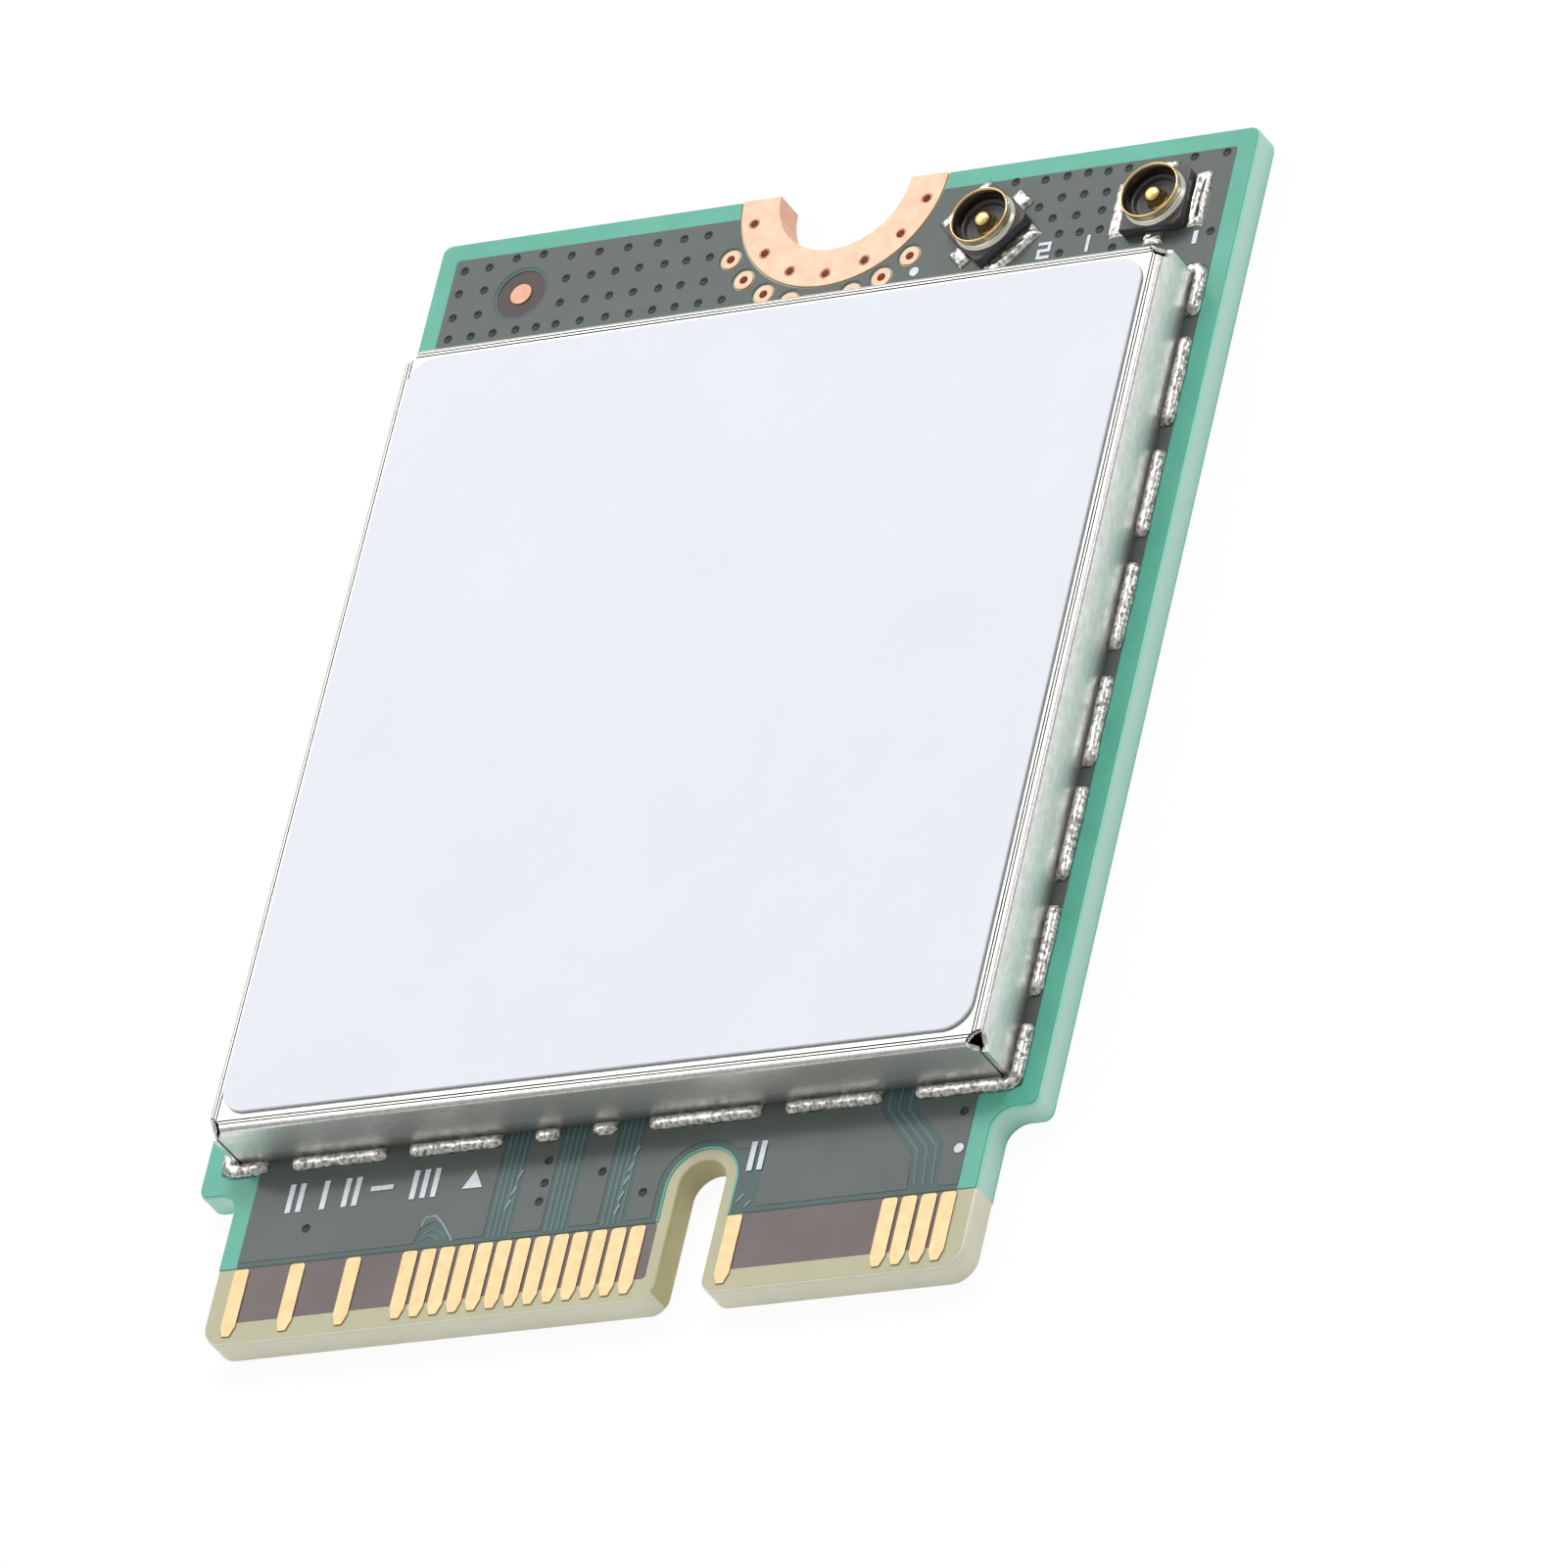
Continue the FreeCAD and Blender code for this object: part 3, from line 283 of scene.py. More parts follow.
# Painted shade and painted dark reflection on the metal inner wall of each socket's ring.
RING_SHADE_LOOK = plain_material(
    "painted_shade_in_socket", rgb(44, 34, 25), rgb(36, 28, 21), 0.22, 0.3, 0.002)
PIN_LOOK = metal_material(
    "pin_plating", rgb(232, 196, 120), rgb(252, 224, 158), 0.22, 0.12, 0.006)
PRINT_LOOK = plain_material("white_print", rgb(226, 235, 240), rgb(206, 217, 222), 0.5, 0.1, 0.004)
PACKAGE_LOOK = plain_material("chip_moulding", rgb(44, 44, 46), rgb(34, 34, 36), 0.55, 0.3, 0.006)
FILTER_LOOK = plain_material(
    "filter_ceramic", rgb(226, 224, 214), rgb(212, 210, 200), 0.4, 0.3, 0.003)
TAN_LOOK = plain_material(
    "capacitor_ceramic", rgb(176, 146, 112), rgb(160, 130, 98), 0.4, 0.2, 0.003)
DARK_LOOK = plain_material("resistor_ceramic", rgb(52, 52, 56), rgb(40, 40, 44), 0.35, 0.2, 0.003)
LID_LOOK = metal_material(
    "crystal_lid", rgb(206, 198, 172), rgb(226, 218, 194), 0.3, 0.2, 0.003)
FERRITE_LOOK = plain_material("ferrite", rgb(82, 82, 86), rgb(68, 68, 72), 0.5, 0.15, 0.006)

# Look of each slot of the record, for the nodes that stay as they are
SLOT_LOOKS = {
    "laminate": LAMINATE_LOOK,
    "mask": FIELD_LOOK,
    "via_cap": VIA_SHADE_LOOK,
    "copper": COPPER_LOOK,
    "gold": GOLD_LOOK,
    "can_sheet": CAN_TOP_SHADE_LOOK,
    "solder": SOLDER_LOOK,
    "label": LABEL_LOOK,
    "socket_base": BASE_LOOK,
    "socket_metal": SOCKET_LOOK,
    "print": PRINT_LOOK,
    "chip_package": PACKAGE_LOOK,
    "filter_ceramic": FILTER_LOOK,
    "capacitor_ceramic": TAN_LOOK,
    "resistor_ceramic": DARK_LOOK,
    "crystal_lid": LID_LOOK,
    "ferrite": FERRITE_LOOK,
}
SLOT_OF = {entry["node"]: entry["material_slot"] for entry in frame["record"]["subparts"]}
for name, thing in frame["nodes"].items():
    thing.data.materials.clear()
    thing.data.materials.append(SLOT_LOOKS[SLOT_OF[name]])


# Outlines, in millimetres

def circle(x, y, radius, count=48):
    """Points round a circle."""
    return [
        (x + radius * math.cos(math.tau * i / count), y + radius * math.sin(math.tau * i / count))
        for i in range(count)
    ]


def arc(x, y, radius, start, end, count=12):
    """Points along an arc, from one angle to another in degrees."""
    angles = [math.radians(start + (end - start) * i / count) for i in range(count + 1)]
    return [(x + radius * math.cos(a), y + radius * math.sin(a)) for a in angles]


def rounded_box(left, right, low, high, radius):
    """A rectangle with round corners, anticlockwise."""
    return (
        arc(right - radius, low + radius, radius, -90, 0)
        + arc(right - radius, high - radius, radius, 0, 90)
        + arc(left + radius, high - radius, radius, 90, 180)
        + arc(left + radius, low + radius, radius, 180, 270)
    )


def soften(points, reach):
    """An outline with its sharp corners rounded, each over no more than this reach."""
    rounded = []
    for i, here in enumerate(points):
        here = Vector(here)
        before = Vector(points[i - 1]) - here
        after = Vector(points[(i + 1) % len(points)]) - here
        if math.pi - before.angle(after) < math.radians(20):
            rounded.append(tuple(here))
            continue
        cut = min(reach, 0.45 * before.length, 0.45 * after.length)
        first, last = here + before.normalized() * cut, here + after.normalized() * cut
        for step in range(6):
            t = step / 5
            rounded.append(tuple(first * (1 - t) ** 2 + here * 2 * t * (1 - t) + last * t ** 2))
    return rounded


def card_outline(start, inset, notch, slot_margin, chamfer=0.0, left_cuts=(), right_cuts=(),
                 beside_slot=0.0):
    """The card's plan behind a start line, drawn in from its edges and out round its openings.

    Cuts are lists of points that go into the start line, left and right of the key slot. The
    opening round the slot can be wider on its right."""
    half = HALF_WIDTH - inset
    tongue = TONGUE - inset
    shoulder = SHOULDER + inset
    crown = KEY_WIDTH / 2 + slot_margin
    crown_y = KEY_TOP - KEY_WIDTH / 2
    mouth = 0.25 if chamfer else 0.0  # chamfers of the slot's mouth
    end = END - inset
    points = [(-tongue, start + chamfer), (-tongue + chamfer, start)]
    for cut in left_cuts:
        points += cut
    points += [(KEY_X - crown - mouth, start), (KEY_X - crown, start + mouth)]
    points += arc(KEY_X, crown_y, crown, 180, 45 if beside_slot else 0, 24)
    side = KEY_X + crown + beside_slot
    if beside_slot:
        points.append((side, points[-1][1]))
    points += [(side, start + mouth), (side + mouth, start)]
    for cut in right_cuts:
        points += cut
    points += [(tongue - chamfer, start), (tongue, start + chamfer),
               (tongue, max(start, MASK_START))]
    # right shoulder, side and notch end, then the left side; a deep inset has tighter corners
    deep = inset > 0.1
    radius = 0.2 if deep else SHOULDER_RADIUS + inset
    corner = 0.08 if deep else OUTER_CORNER
    points += arc(tongue + radius, shoulder - radius, radius, 180, 90, 10)
    points += arc(half - corner, shoulder + corner, corner, -90, 0, 6)
    points += arc(half - corner, end - corner, corner, 0, 90, 6)
    across = math.sqrt(max(notch ** 2 - inset ** 2, 0.0))
    dip = math.degrees(math.atan2(-inset, across))
    points += [(across, end)]
    points += arc(0, END, notch, dip, -180 - dip, 40)[1:-1]
    points.append((-across, end))
    points += arc(corner - half, end - corner, corner, 90, 180, 6)
    points += arc(corner - half, shoulder + corner, corner, 180, 270, 6)
    points += arc(-tongue - radius, shoulder - radius, radius, 90, 0, 10)
    points.append((-tongue, max(start, MASK_START)))
    return [point for point, after in zip(points, points[1:] + points[:1]) if point != after]


# Meshes

def piece(name, mesh, looks, slot, *replaced, choose=None):
    """A piece of the card from a mesh in millimetres; chosen faces take the second look."""
    mesh.transform(Matrix.Scale(MM, 4))
    mesh.materials.clear()
    for look in looks:
        mesh.materials.append(look)
    for face in mesh.polygons:
        face.material_index = 0
    if choose:
        mesh.transform(Matrix.Scale(1 / MM, 4))
        for face in mesh.polygons:
            face.material_index = int(choose(face))
        mesh.transform(Matrix.Scale(MM, 4))
    thing = bpy.data.objects.new(name, mesh)
    scene.collection.objects.link(thing)
    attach(thing, "root")
    if replaced:
        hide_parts(*replaced)
    return thing


def plate_mesh(outlines, low, high, bevel, steps=2):
    """A plate from closed outlines, with rounded edges. Outlines inside others are holes."""
    curve = bpy.data.curves.new("plate", "CURVE")
    curve.dimensions = "2D"
    curve.fill_mode = "BOTH"
    curve.extrude = (high - low) / 2 - bevel
    curve.bevel_depth = bevel
    curve.bevel_resolution = steps
    curve.offset = -bevel
    for outline in outlines:
        spline = curve.splines.new("POLY")
        spline.points.add(len(outline) - 1)
        spline.use_cyclic_u = True
        for point, (x, y) in zip(spline.points, outline):
            point.co = (x, y, 0, 1)
    thing = bpy.data.objects.new("plate", curve)
    scene.collection.objects.link(thing)
    mesh = bpy.data.meshes.new_from_object(thing.evaluated_get(
        bpy.context.evaluated_depsgraph_get()))
    bpy.data.objects.remove(thing)
    bpy.data.curves.remove(curve)
    mesh.transform(Matrix.Translation((0, 0, (low + high) / 2)))
    for face in mesh.polygons:
        face.use_smooth = abs(face.normal.z) < 0.99
    return mesh


def join_meshes(meshes):
    """One mesh of several."""
    together = bmesh.new()
    for mesh in meshes:
        together.from_mesh(mesh)
        bpy.data.meshes.remove(mesh)
    joined = bpy.data.meshes.new("joined")
    together.to_mesh(joined)
    together.free()
    return joined


SAME_PLACE = 1e-5


def grid_mesh(rows, closed_rows=False, closed_columns=False, caps=False):
    """Quads between rows of points; the ends of the rows can be closed with fans."""
    made = bmesh.new()
    verts = [[made.verts.new(point) for point in row] for row in rows]
    last_row = len(rows) if closed_rows else len(rows) - 1
    width = len(rows[0])
    last_column = width if closed_columns else width - 1
    for i in range(last_row):
        for j in range(last_column):
            following = verts[(i + 1) % len(rows)]
            made.faces.new((verts[i][j], verts[i][(j + 1) % width],
                            following[(j + 1) % width], following[j]))
    if caps:
        for row in (verts[0], verts[-1]):
            made.faces.new(row)
    bmesh.ops.remove_doubles(made, verts=made.verts, dist=SAME_PLACE)
    bmesh.ops.recalc_face_normals(made, faces=made.faces)
    for face in made.faces:
        face.smooth = True
    mesh = bpy.data.meshes.new("grid")
    made.to_mesh(mesh)
    made.free()
    return mesh


def lathe_mesh(profile, x, y, count=64):
    """A turned shape from pairs of radius and height, about an upright axis."""
    rows = []
    for i in range(count):
        angle = math.tau * i / count
        rows.append([(x + r * math.cos(angle), y + r * math.sin(angle), z) for r, z in profile])
    return grid_mesh(rows, closed_rows=True, closed_columns=True)


# Vias

VIA_RADIUS = 0.11
VIA_PLATING = 0.035
VIA_LAND = 0.245  # radius of an open land
INNER_CIRCLE = 2.42  # radius of the vias in the mounting land, about the notch
OUTER_CIRCLE = 3.18  # radius of the vias with lands of their own


def round_notch(radius, degrees):
    """A place at this angle from straight below the notch's centre."""
    angle = math.radians(degrees)
    return (radius * math.sin(angle), END - radius * math.cos(angle))


inner_vias = [round_notch(INNER_CIRCLE, 24.5 * i) for i in range(-3, 4)]
outer_vias = [round_notch(OUTER_CIRCLE, side * (15.2 + 14.7 * i))
              for side, count in ((-1, 4), (1, 3)) for i in range(count)]

# Stitching vias: each row's distance from the notch end and its columns from the left side, then
# places of their own
STITCH_ROWS = (
    (0.82, (0.78, 1.46, 3.73, 4.49, 5.28, 6.09, 6.81, 7.47)),
    (1.46, (0.78, 1.47, 3.73, 4.42, 5.08, 5.73, 6.42, 7.02, 7.66)),
    (2.14, (0.78, 1.47, 3.73, 4.42, 5.08, 5.73, 6.42, 7.02, 7.66)),
    (2.74, (0.8, 1.43, 2.03, 2.66, 3.22, 3.76, 4.42, 5.12, 5.76, 6.4, 7.01, 7.65, 8.28)),
)
MARK_VIAS = ((2.18, 0.67), (2.92, 0.66))  # from the left side and the notch end
SOCKET_VIAS = (  # from the right side and the notch end
    (6.32, 0.6), (5.52, 0.66), (4.94, 0.64), (4.39, 0.64), (3.85, 0.68), (3.31, 0.68),
    (5.52, 1.42), (4.96, 1.23), (4.37, 1.23), (3.77, 1.26), (5.08, 1.79), (4.45, 1.8),
    (3.78, 1.76), (4.8, 2.26), (4.25, 2.3), (3.72, 2.3), (4.68, 2.81), (3.27, 2.87),
    (1.59, 0.63), (0.74, 0.64), (0.7, 2.81),
)
FRONT_VIAS = (  # x, and distance from the contact edge
    (-7.78, 2.87), (-1.6, 3.96), (-1.57, 3.37), (-1.6, 2.89), (-0.08, 3.5), (1.14, 2.83),
    (9.16, 4.02),
)


def stitching_places():
    """Centres of all tented vias."""
    rows = [(x, y) for y, columns in STITCH_ROWS for x in columns]
    return (
        [(x - HALF_WIDTH, END - y) for x, y in rows + list(MARK_VIAS)]
        + [(HALF_WIDTH - x, END - y) for x, y in SOCKET_VIAS]
        + [(x, EDGE + y) for x, y in FRONT_VIAS]
    )


stitches = stitching_places()


# Board and solder mask

MASK_FACE = TOP - 0.012  # over bare laminate
CHANNEL_FACE = TOP - 0.009  # over the inner copper
DIMPLE = 0.105  # radius of a tented via's dimple
SLOT_MARGIN = 0.3  # from the slot's wall to the mask
MARK = (-8.45, 13.28)  # centre of the fiducial mark
BOARD_ROUNDING = 0.065  # of the board's top and bottom edges

board_drills = [circle(x, y, VIA_RADIUS + VIA_PLATING, 24) for x, y in inner_vias + outer_vias]
open_lands = [circle(x, y, VIA_LAND + 0.05, 32) for x, y in outer_vias]
dimples = [circle(x, y, DIMPLE, 20) for x, y in stitches]
mark_opening = circle(*MARK, 0.65)


def board_side(face):
    """Which look a face of the laminate takes: 0 flat, 1 side of the masked part, 2 bare side
    painted much lighter than the top, 3 in the key slot painted a little lighter than the top, both
    as painted light."""
    middle = face.center
    if abs(face.normal.z) > 0.9:
        return 0
    if abs(middle.x - KEY_X) < KEY_WIDTH and middle.y > EDGE + 0.2:
        return 3
    masked = middle.y > MASK_START and abs(middle.x) > TONGUE - 0.1 or middle.y > END - 0.2
    return 1 if masked else 2


board = plate_mesh(
    [soften(card_outline(EDGE, 0.0, NOTCH, 0.0, TONGUE_CORNER), 0.3)] + board_drills,
    *LAMINATE, BOARD_ROUNDING, 4)
piece("board_laminate", board, [LAMINATE_LOOK, EDGE_LOOK, LAMINATE_SIDE_LIT_LOOK, SLOT_WALL_LIT_LOOK],
      "laminate", "circuit_board", choose=board_side)

mask_outline = card_outline(MASK_START, MASK_INSET, LAND_OPENING, SLOT_MARGIN)
film = plate_mesh(
    [mask_outline, mark_opening] + open_lands + dimples, LAMINATE[1], MASK_FACE, 0.005)
piece("mask_film", film, [BAND_LOOK], "mask", "solder_mask_top")

inner_outline = card_outline(
    MASK_START + 0.002, FIELD_INSET, LAND_OPENING, SLOT_MARGIN + 0.05)
channel_holes = [circle(*MARK, 0.655)] + open_lands + dimples
channels = plate_mesh([inner_outline] + channel_holes, MASK_FACE, CHANNEL_FACE, 0.001)
piece("mask_over_inner_copper", channels, [CHANNEL_LOOK], "mask", "solder_mask_top")

# Tracks from the can's front to the contacts: bundles of straight lines, and one bundle that bends
BUNDLES = (-2.53, -1.02, 0.47)  # centre of each straight bundle
BUNDLE_HALF = 0.36  # of the gap in the ground copper
TRACK_PITCH = 0.15
TRACK_WIDTH = 0.07
UNDER_CAN = CAN[2] + 0.3  # where the tracks end, out of sight
BENT_TRACKS = (  # x, and distance from the contact edge
    ((7.15, 5.0), (7.15, 4.3), (8.14, 3.15), (8.29, 2.2)),
    ((7.42, 5.0), (7.42, 4.27), (8.39, 3.17), (8.52, 2.2)),
    ((7.7, 5.0), (7.7, 4.23), (8.64, 3.18), (8.74, 2.2)),
)
HOOKED_TRACKS = (
    ((-4.52, 2.36), (-4.31, 2.49), (-4.02, 2.34), (-3.88, 2.14)),
    ((-4.6, 2.2), (-4.4, 2.32), (-4.2, 2.28), (-4.08, 2.14)),
)
FIELD_START = MASK_START + 0.13  # ground copper


def from_edge(points):
    """Points whose second number is the distance from the contact edge."""
    return [(x, EDGE + y) for x, y in points]


straight_cuts = [
    [(x - BUNDLE_HALF, FIELD_START), (x - BUNDLE_HALF, UNDER_CAN),
     (x + BUNDLE_HALF, UNDER_CAN), (x + BUNDLE_HALF, FIELD_START)]
    for x in BUNDLES
]
hook_cut = [
    (-4.75, FIELD_START), *from_edge([(-4.62, 2.56), (-4.3, 2.68), (-4.05, 2.5)]),
    (-3.72, FIELD_START),
]
bent_cut = [
    (8.12, FIELD_START), *from_edge([(8.02, 3.05), (6.98, 4.25)]), (6.98, UNDER_CAN),
    (7.88, UNDER_CAN), *from_edge([(7.88, 4.3), (8.8, 3.26)]), (8.9, FIELD_START),
]
field_outline = card_outline(
    FIELD_START, FIELD_INSET, LAND_OPENING, SLOT_MARGIN + 0.22,
    left_cuts=[hook_cut] + straight_cuts, right_cuts=[bent_cut], beside_slot=0.45)
field_holes = [circle(*MARK, 0.74)] + [circle(x, y, VIA_LAND + 0.08, 32) for x, y in outer_vias]
field = plate_mesh([field_outline] + field_holes + dimples, CHANNEL_FACE, TOP, 0.004)
piece("mask_over_ground", field, [FIELD_LOOK], "mask", "solder_mask_top")


def strip(points, width):
    """Outline of a strip of some width along a line of points."""
    left, right = [], []
    for i, (x, y) in enumerate(points):
        before = points[max(i - 1, 0)]
        after = points[min(i + 1, len(points) - 1)]
        run = Vector((after[0] - before[0], after[1] - before[1])).normalized() * width / 2
        left.append((x - run.y, y + run.x))
        right.append((x + run.y, y - run.x))
    return left + right[::-1]


tracks = []
for x in BUNDLES:
    for i in range(4):
        line = x + (i - 1.5) * TRACK_PITCH
        tracks.append(strip([(line, UNDER_CAN), (line, MASK_START + 0.06)], TRACK_WIDTH))
for line in BENT_TRACKS + HOOKED_TRACKS:
    tracks.append(strip(from_edge(line), TRACK_WIDTH))
piece("signal_tracks", plate_mesh(tracks, CHANNEL_FACE - 0.002, TOP - 0.001, 0.003),
      [TRACK_LOOK], "mask", "solder_mask_top")

# Short bends of the length-matched tracks, painted lighter than the tracks as a painted highlight
# where they catch the light
MATCHING = [(-2.28, 3.66), (-2.36, 3.25), (-2.42, 2.9),
            (0.72, 3.95), (0.66, 3.55), (0.62, 3.2), (0.58, 2.8), (0.55, 2.45)]
bends = [strip(from_edge([(x - 0.05, y - 0.12), (x + 0.05, y + 0.12)]), 0.06) for x, y in MATCHING]
bends += [strip(from_edge(line), 0.05) for line in (
    ((-4.61, 2.55), (-4.61, 2.7), (-4.55, 2.8), (-4.31, 2.82), (-4.1, 2.63), (-3.7, 2.1)),
    ((3.7, 2.3), (3.86, 2.48)),
    ((3.94, 2.14), (4.08, 2.3)),
)]
piece("matched_bends", plate_mesh(bends, CHANNEL_FACE, TOP + 0.006, 0.006),
      [BEND_HIGHLIGHT_LOOK], "mask", "solder_mask_top")


def dimple_mesh(x, y):
    """A tented via: a bowl of mask below the face, with a low lip, all in painted shade."""
    low = LAMINATE[1]
    profile = [
        (0.0, low + 0.002), (0.04, low + 0.004), (0.07, low + 0.014), (0.09, TOP - 0.006),
        (0.1, TOP + 0.001), (0.112, TOP + 0.002), (0.12, TOP - 0.001), (0.12, low), (0.0, low),
    ]
    return lathe_mesh(profile, x, y, 20)


piece("via_dimples", join_meshes([dimple_mesh(x, y) for x, y in stitches]),
      [VIA_SHADE_LOOK], "via_cap", "stitching_vias")

# Underside: mask over laminate at the rim, mask over copper inside
low_film = plate_mesh([mask_outline] + open_lands, 0.009, LAMINATE[0], 0.01)
piece("low_mask_film", low_film, [BAND_LOOK], "mask", "solder_mask_bottom")
low_field_outline = card_outline(FIELD_START, FIELD_INSET, LAND_OPENING, SLOT_MARGIN + 0.3)
low_field = plate_mesh([low_field_outline] + field_holes[1:], 0.005, 0.012, 0.003)
piece("low_mask_over_ground", low_field, [FIELD_LOOK], "mask", "solder_mask_bottom")


# Contacts

PIN_STEP = 0.25  # the pins of the two faces alternate
CENTRE_PIN = 38
CONTACT_ROWS = {  # pins, and the underside of their plating
    "top_contacts_left": ([75, 69, 63] + list(range(57, 31, -2)), LAMINATE[1]),
    "top_contacts_right": ([23, 7, 5, 3, 1], LAMINATE[1]),
    "bottom_contacts_left": (list(range(74, 30, -2)), 0.0),
    "bottom_contacts_right": (list(range(22, 0, -2)), 0.0),
}


def contact_outline(pin):
    """A contact finger: narrow tip towards the edge, round corners at the mask."""
    x = (CENTRE_PIN - pin) * PIN_STEP
    half, tip, taper, round_end = 0.2, 0.1, 0.25, 0.09
    start, end = EDGE + 0.2, MASK_START - 0.04
    return (
        [(x - half, start + taper), (x - tip, start), (x + tip, start), (x + half, start + taper)]
        + arc(x + half - round_end, end - round_end, round_end, 0, 90, 5)
        + arc(x - half + round_end, end - round_end, round_end, 90, 180, 5)
    )


for label, (pins, z) in CONTACT_ROWS.items():
    fingers = plate_mesh([contact_outline(pin) for pin in pins], z, z + SKIN, 0.012, 3)
    piece(label + "_plated", fingers, [GOLD_LOOK], "gold", label)

# Inner copper that shows through the laminate between the contacts
BROWN = (EDGE + 0.56, EDGE + 1.995)  # front and back
BROWN_SIDES = ((-TONGUE + 0.48, 1.72), (3.88, TONGUE - 0.48))  # left and right of the slot
THIN_FILM = (LAMINATE[1] - 0.004, LAMINATE[1] + 0.003)
brown_zones = [rounded_box(*sides, *BROWN, 0.1) for sides in BROWN_SIDES]
piece("inner_copper_film", plate_mesh(brown_zones, *THIN_FILM, 0.002), [BROWN_LOOK], "laminate")


# Mounting ring and fiducial mark

def half_ring(inner, outer):
    """Outline of the mounting ring's land or wall, below the notch end."""
    return arc(0, END, outer, -180, 0, 72) + arc(0, END, inner, 0, -180, 72)


ring_drills = [circle(x, y, VIA_RADIUS, 24) for x, y in inner_vias]
ring = join_meshes([
    plate_mesh([half_ring(NOTCH_BORE, LAND)] + ring_drills, LAMINATE[1], TOP, 0.012, 3),
    plate_mesh([half_ring(NOTCH_BORE, LAND)] + ring_drills, 0.0, LAMINATE[0], 0.012, 3),
    plate_mesh([half_ring(NOTCH_BORE, NOTCH + 0.01)], 0.02, TOP - 0.02, 0.01),
])
piece("ring_of_copper", ring, [COPPER_LOOK], "copper", "mounting_ring")

piece("mark_copper_painted_shade", plate_mesh([circle(*MARK, 0.28)], LAMINATE[1], TOP, 0.01, 3),
      [MARK_SHADE_LOOK], "copper", "fiducial_mark")
piece("mark_ground", plate_mesh([circle(*MARK, 0.66)], *THIN_FILM, 0.002),
      [DISC_LOOK], "laminate")


# Shield can, its solder and its label

LINES = ((0.225, 0.265), (0.15, 0.185))  # near and far side of each line, from the wall
LINE_FLOOR = CAN_TOP - 0.04
ABOVE_CAN = 2.6
SHEET = 0.1  # a little less than the sheet's thickness


def bar_mesh(left, right, low, high):
    """A plain bar that cuts a groove into the can's top."""
    plan = [(left, low), (right, low), (right, high), (left, high)]
    return plate_mesh([plan], LINE_FLOOR, ABOVE_CAN, 0.001)


def scribed_can():
    """The folded can with two fine lines pressed along each of its top edges."""
    left, right, low, high = CAN
    bars = []
    for near, far in LINES:
        bars.append(bar_mesh(left + near, left + far, low + far, high - far))
        bars.append(bar_mesh(right - far, right - near, low + far, high - far))
        bars.append(bar_mesh(left + near, right - near, low + near, low + far))
        bars.append(bar_mesh(left + near, right - near, high - far, high - near))
    sheet = frame["nodes"]["shield_can"].data.copy()
    sheet.transform(Matrix.Scale(1 / MM, 4))
    for bar in bars:
        sheet = carve(sheet, bar)
    if "custom_normal" in sheet.attributes:  # stale after the cuts
        sheet.attributes.remove(sheet.attributes["custom_normal"])
    for face in sheet.polygons:
        face.use_smooth = max(abs(part) for part in face.normal) < 0.999
    sheet.set_sharp_from_angle(angle=math.radians(35))
    return sheet


def carve(mesh, tool):
    """A mesh less another one."""
    body = bpy.data.objects.new("body", mesh)
    cutter = bpy.data.objects.new("cutter", tool)
    scene.collection.objects.link(body)
    scene.collection.objects.link(cutter)
    less = body.modifiers.new("less", "BOOLEAN")
    less.operation = "DIFFERENCE"
    less.solver = "EXACT"
    less.object = cutter
    carved = bpy.data.meshes.new_from_object(
        body.evaluated_get(bpy.context.evaluated_depsgraph_get()))
    bpy.data.objects.remove(body)
    bpy.data.objects.remove(cutter)
    bpy.data.meshes.remove(tool)
    return carved


def can_side(face):
    """Which look a face of the can takes: 0 top and bends, 1 painted shade inside the sheet and in
    the pressed lines, 2 walls."""
    x, y, z = face.center
    steep = abs(face.normal.z)
    if CAN_TOP - 0.05 < z < CAN_TOP - 0.01 and not 0.3 < steep < 0.99:
        return 1
    in_plan = CAN[0] + SHEET < x < CAN[1] - SHEET and CAN[2] + SHEET < y < CAN[3] - SHEET
    if in_plan and z < CAN_TOP - SHEET:
        return 1
    return 2 if steep < 0.3 else 0


piece("folded_can", scribed_can(), [CAN_TOP_SHADE_LOOK, CAN_INSIDE_SHADE_LOOK, CAN_WALL_LIGHT_AND_SHADE_LOOK], "can_sheet",
      "shield_can", choose=can_side)

LABEL = rounded_box(-9.88, 9.79, -9.8, 10.63, 0.7)
piece("label_sheet", plate_mesh([LABEL], CAN_TOP, LABEL_TOP, 0.03, 3),
      [LABEL_LOOK], "label", "can_label")

# Beads of solder along the can's foot: ranges along each side, by the distance from the contact
# edge on the sides and from the centre line on the front and the back
FRONT_BEADS = ((-8.6, -6.04), (-5.46, -2.95), (-2.12, -1.44), (-0.6, 0.07), (0.87, 3.84),
               (4.41, 6.95))
SIDE_BEADS = ((6.82, 9.21), (9.82, 12.32), (12.8, 15.23), (15.88, 18.24), (18.89, 21.25),
              (21.87, 24.3))
BACK_BEADS = ((-8.7, -6.3), (-5.7, -3.3), (-2.7, -0.3), (0.3, 2.7), (3.3, 5.7), (6.3, 8.7))
# where the beads round the corners end
CORNER_REACH = {"front": 7.76, "front_left": -9.23, "side": 6.14, "side_back": 24.85, "back": 9.85}
BEAD_WIDTH = 0.355
BEAD_HEIGHT = 0.165
BEAD_STEP = 0.045
BEAD_END = 0.24  # length of a round end
CORNER_STEPS = 12
# across a bead: share of its width from the wall, and of its height
BEAD_PROFILE = ((-0.06, -0.04), (-0.06, 0.2), (0.04, 0.34), (0.14, 0.7), (0.26, 0.92), (0.4, 1.0),
                (0.55, 0.99), (0.7, 0.88), (0.83, 0.68), (0.93, 0.4), (0.985, 0.14), (1.0, -0.04))


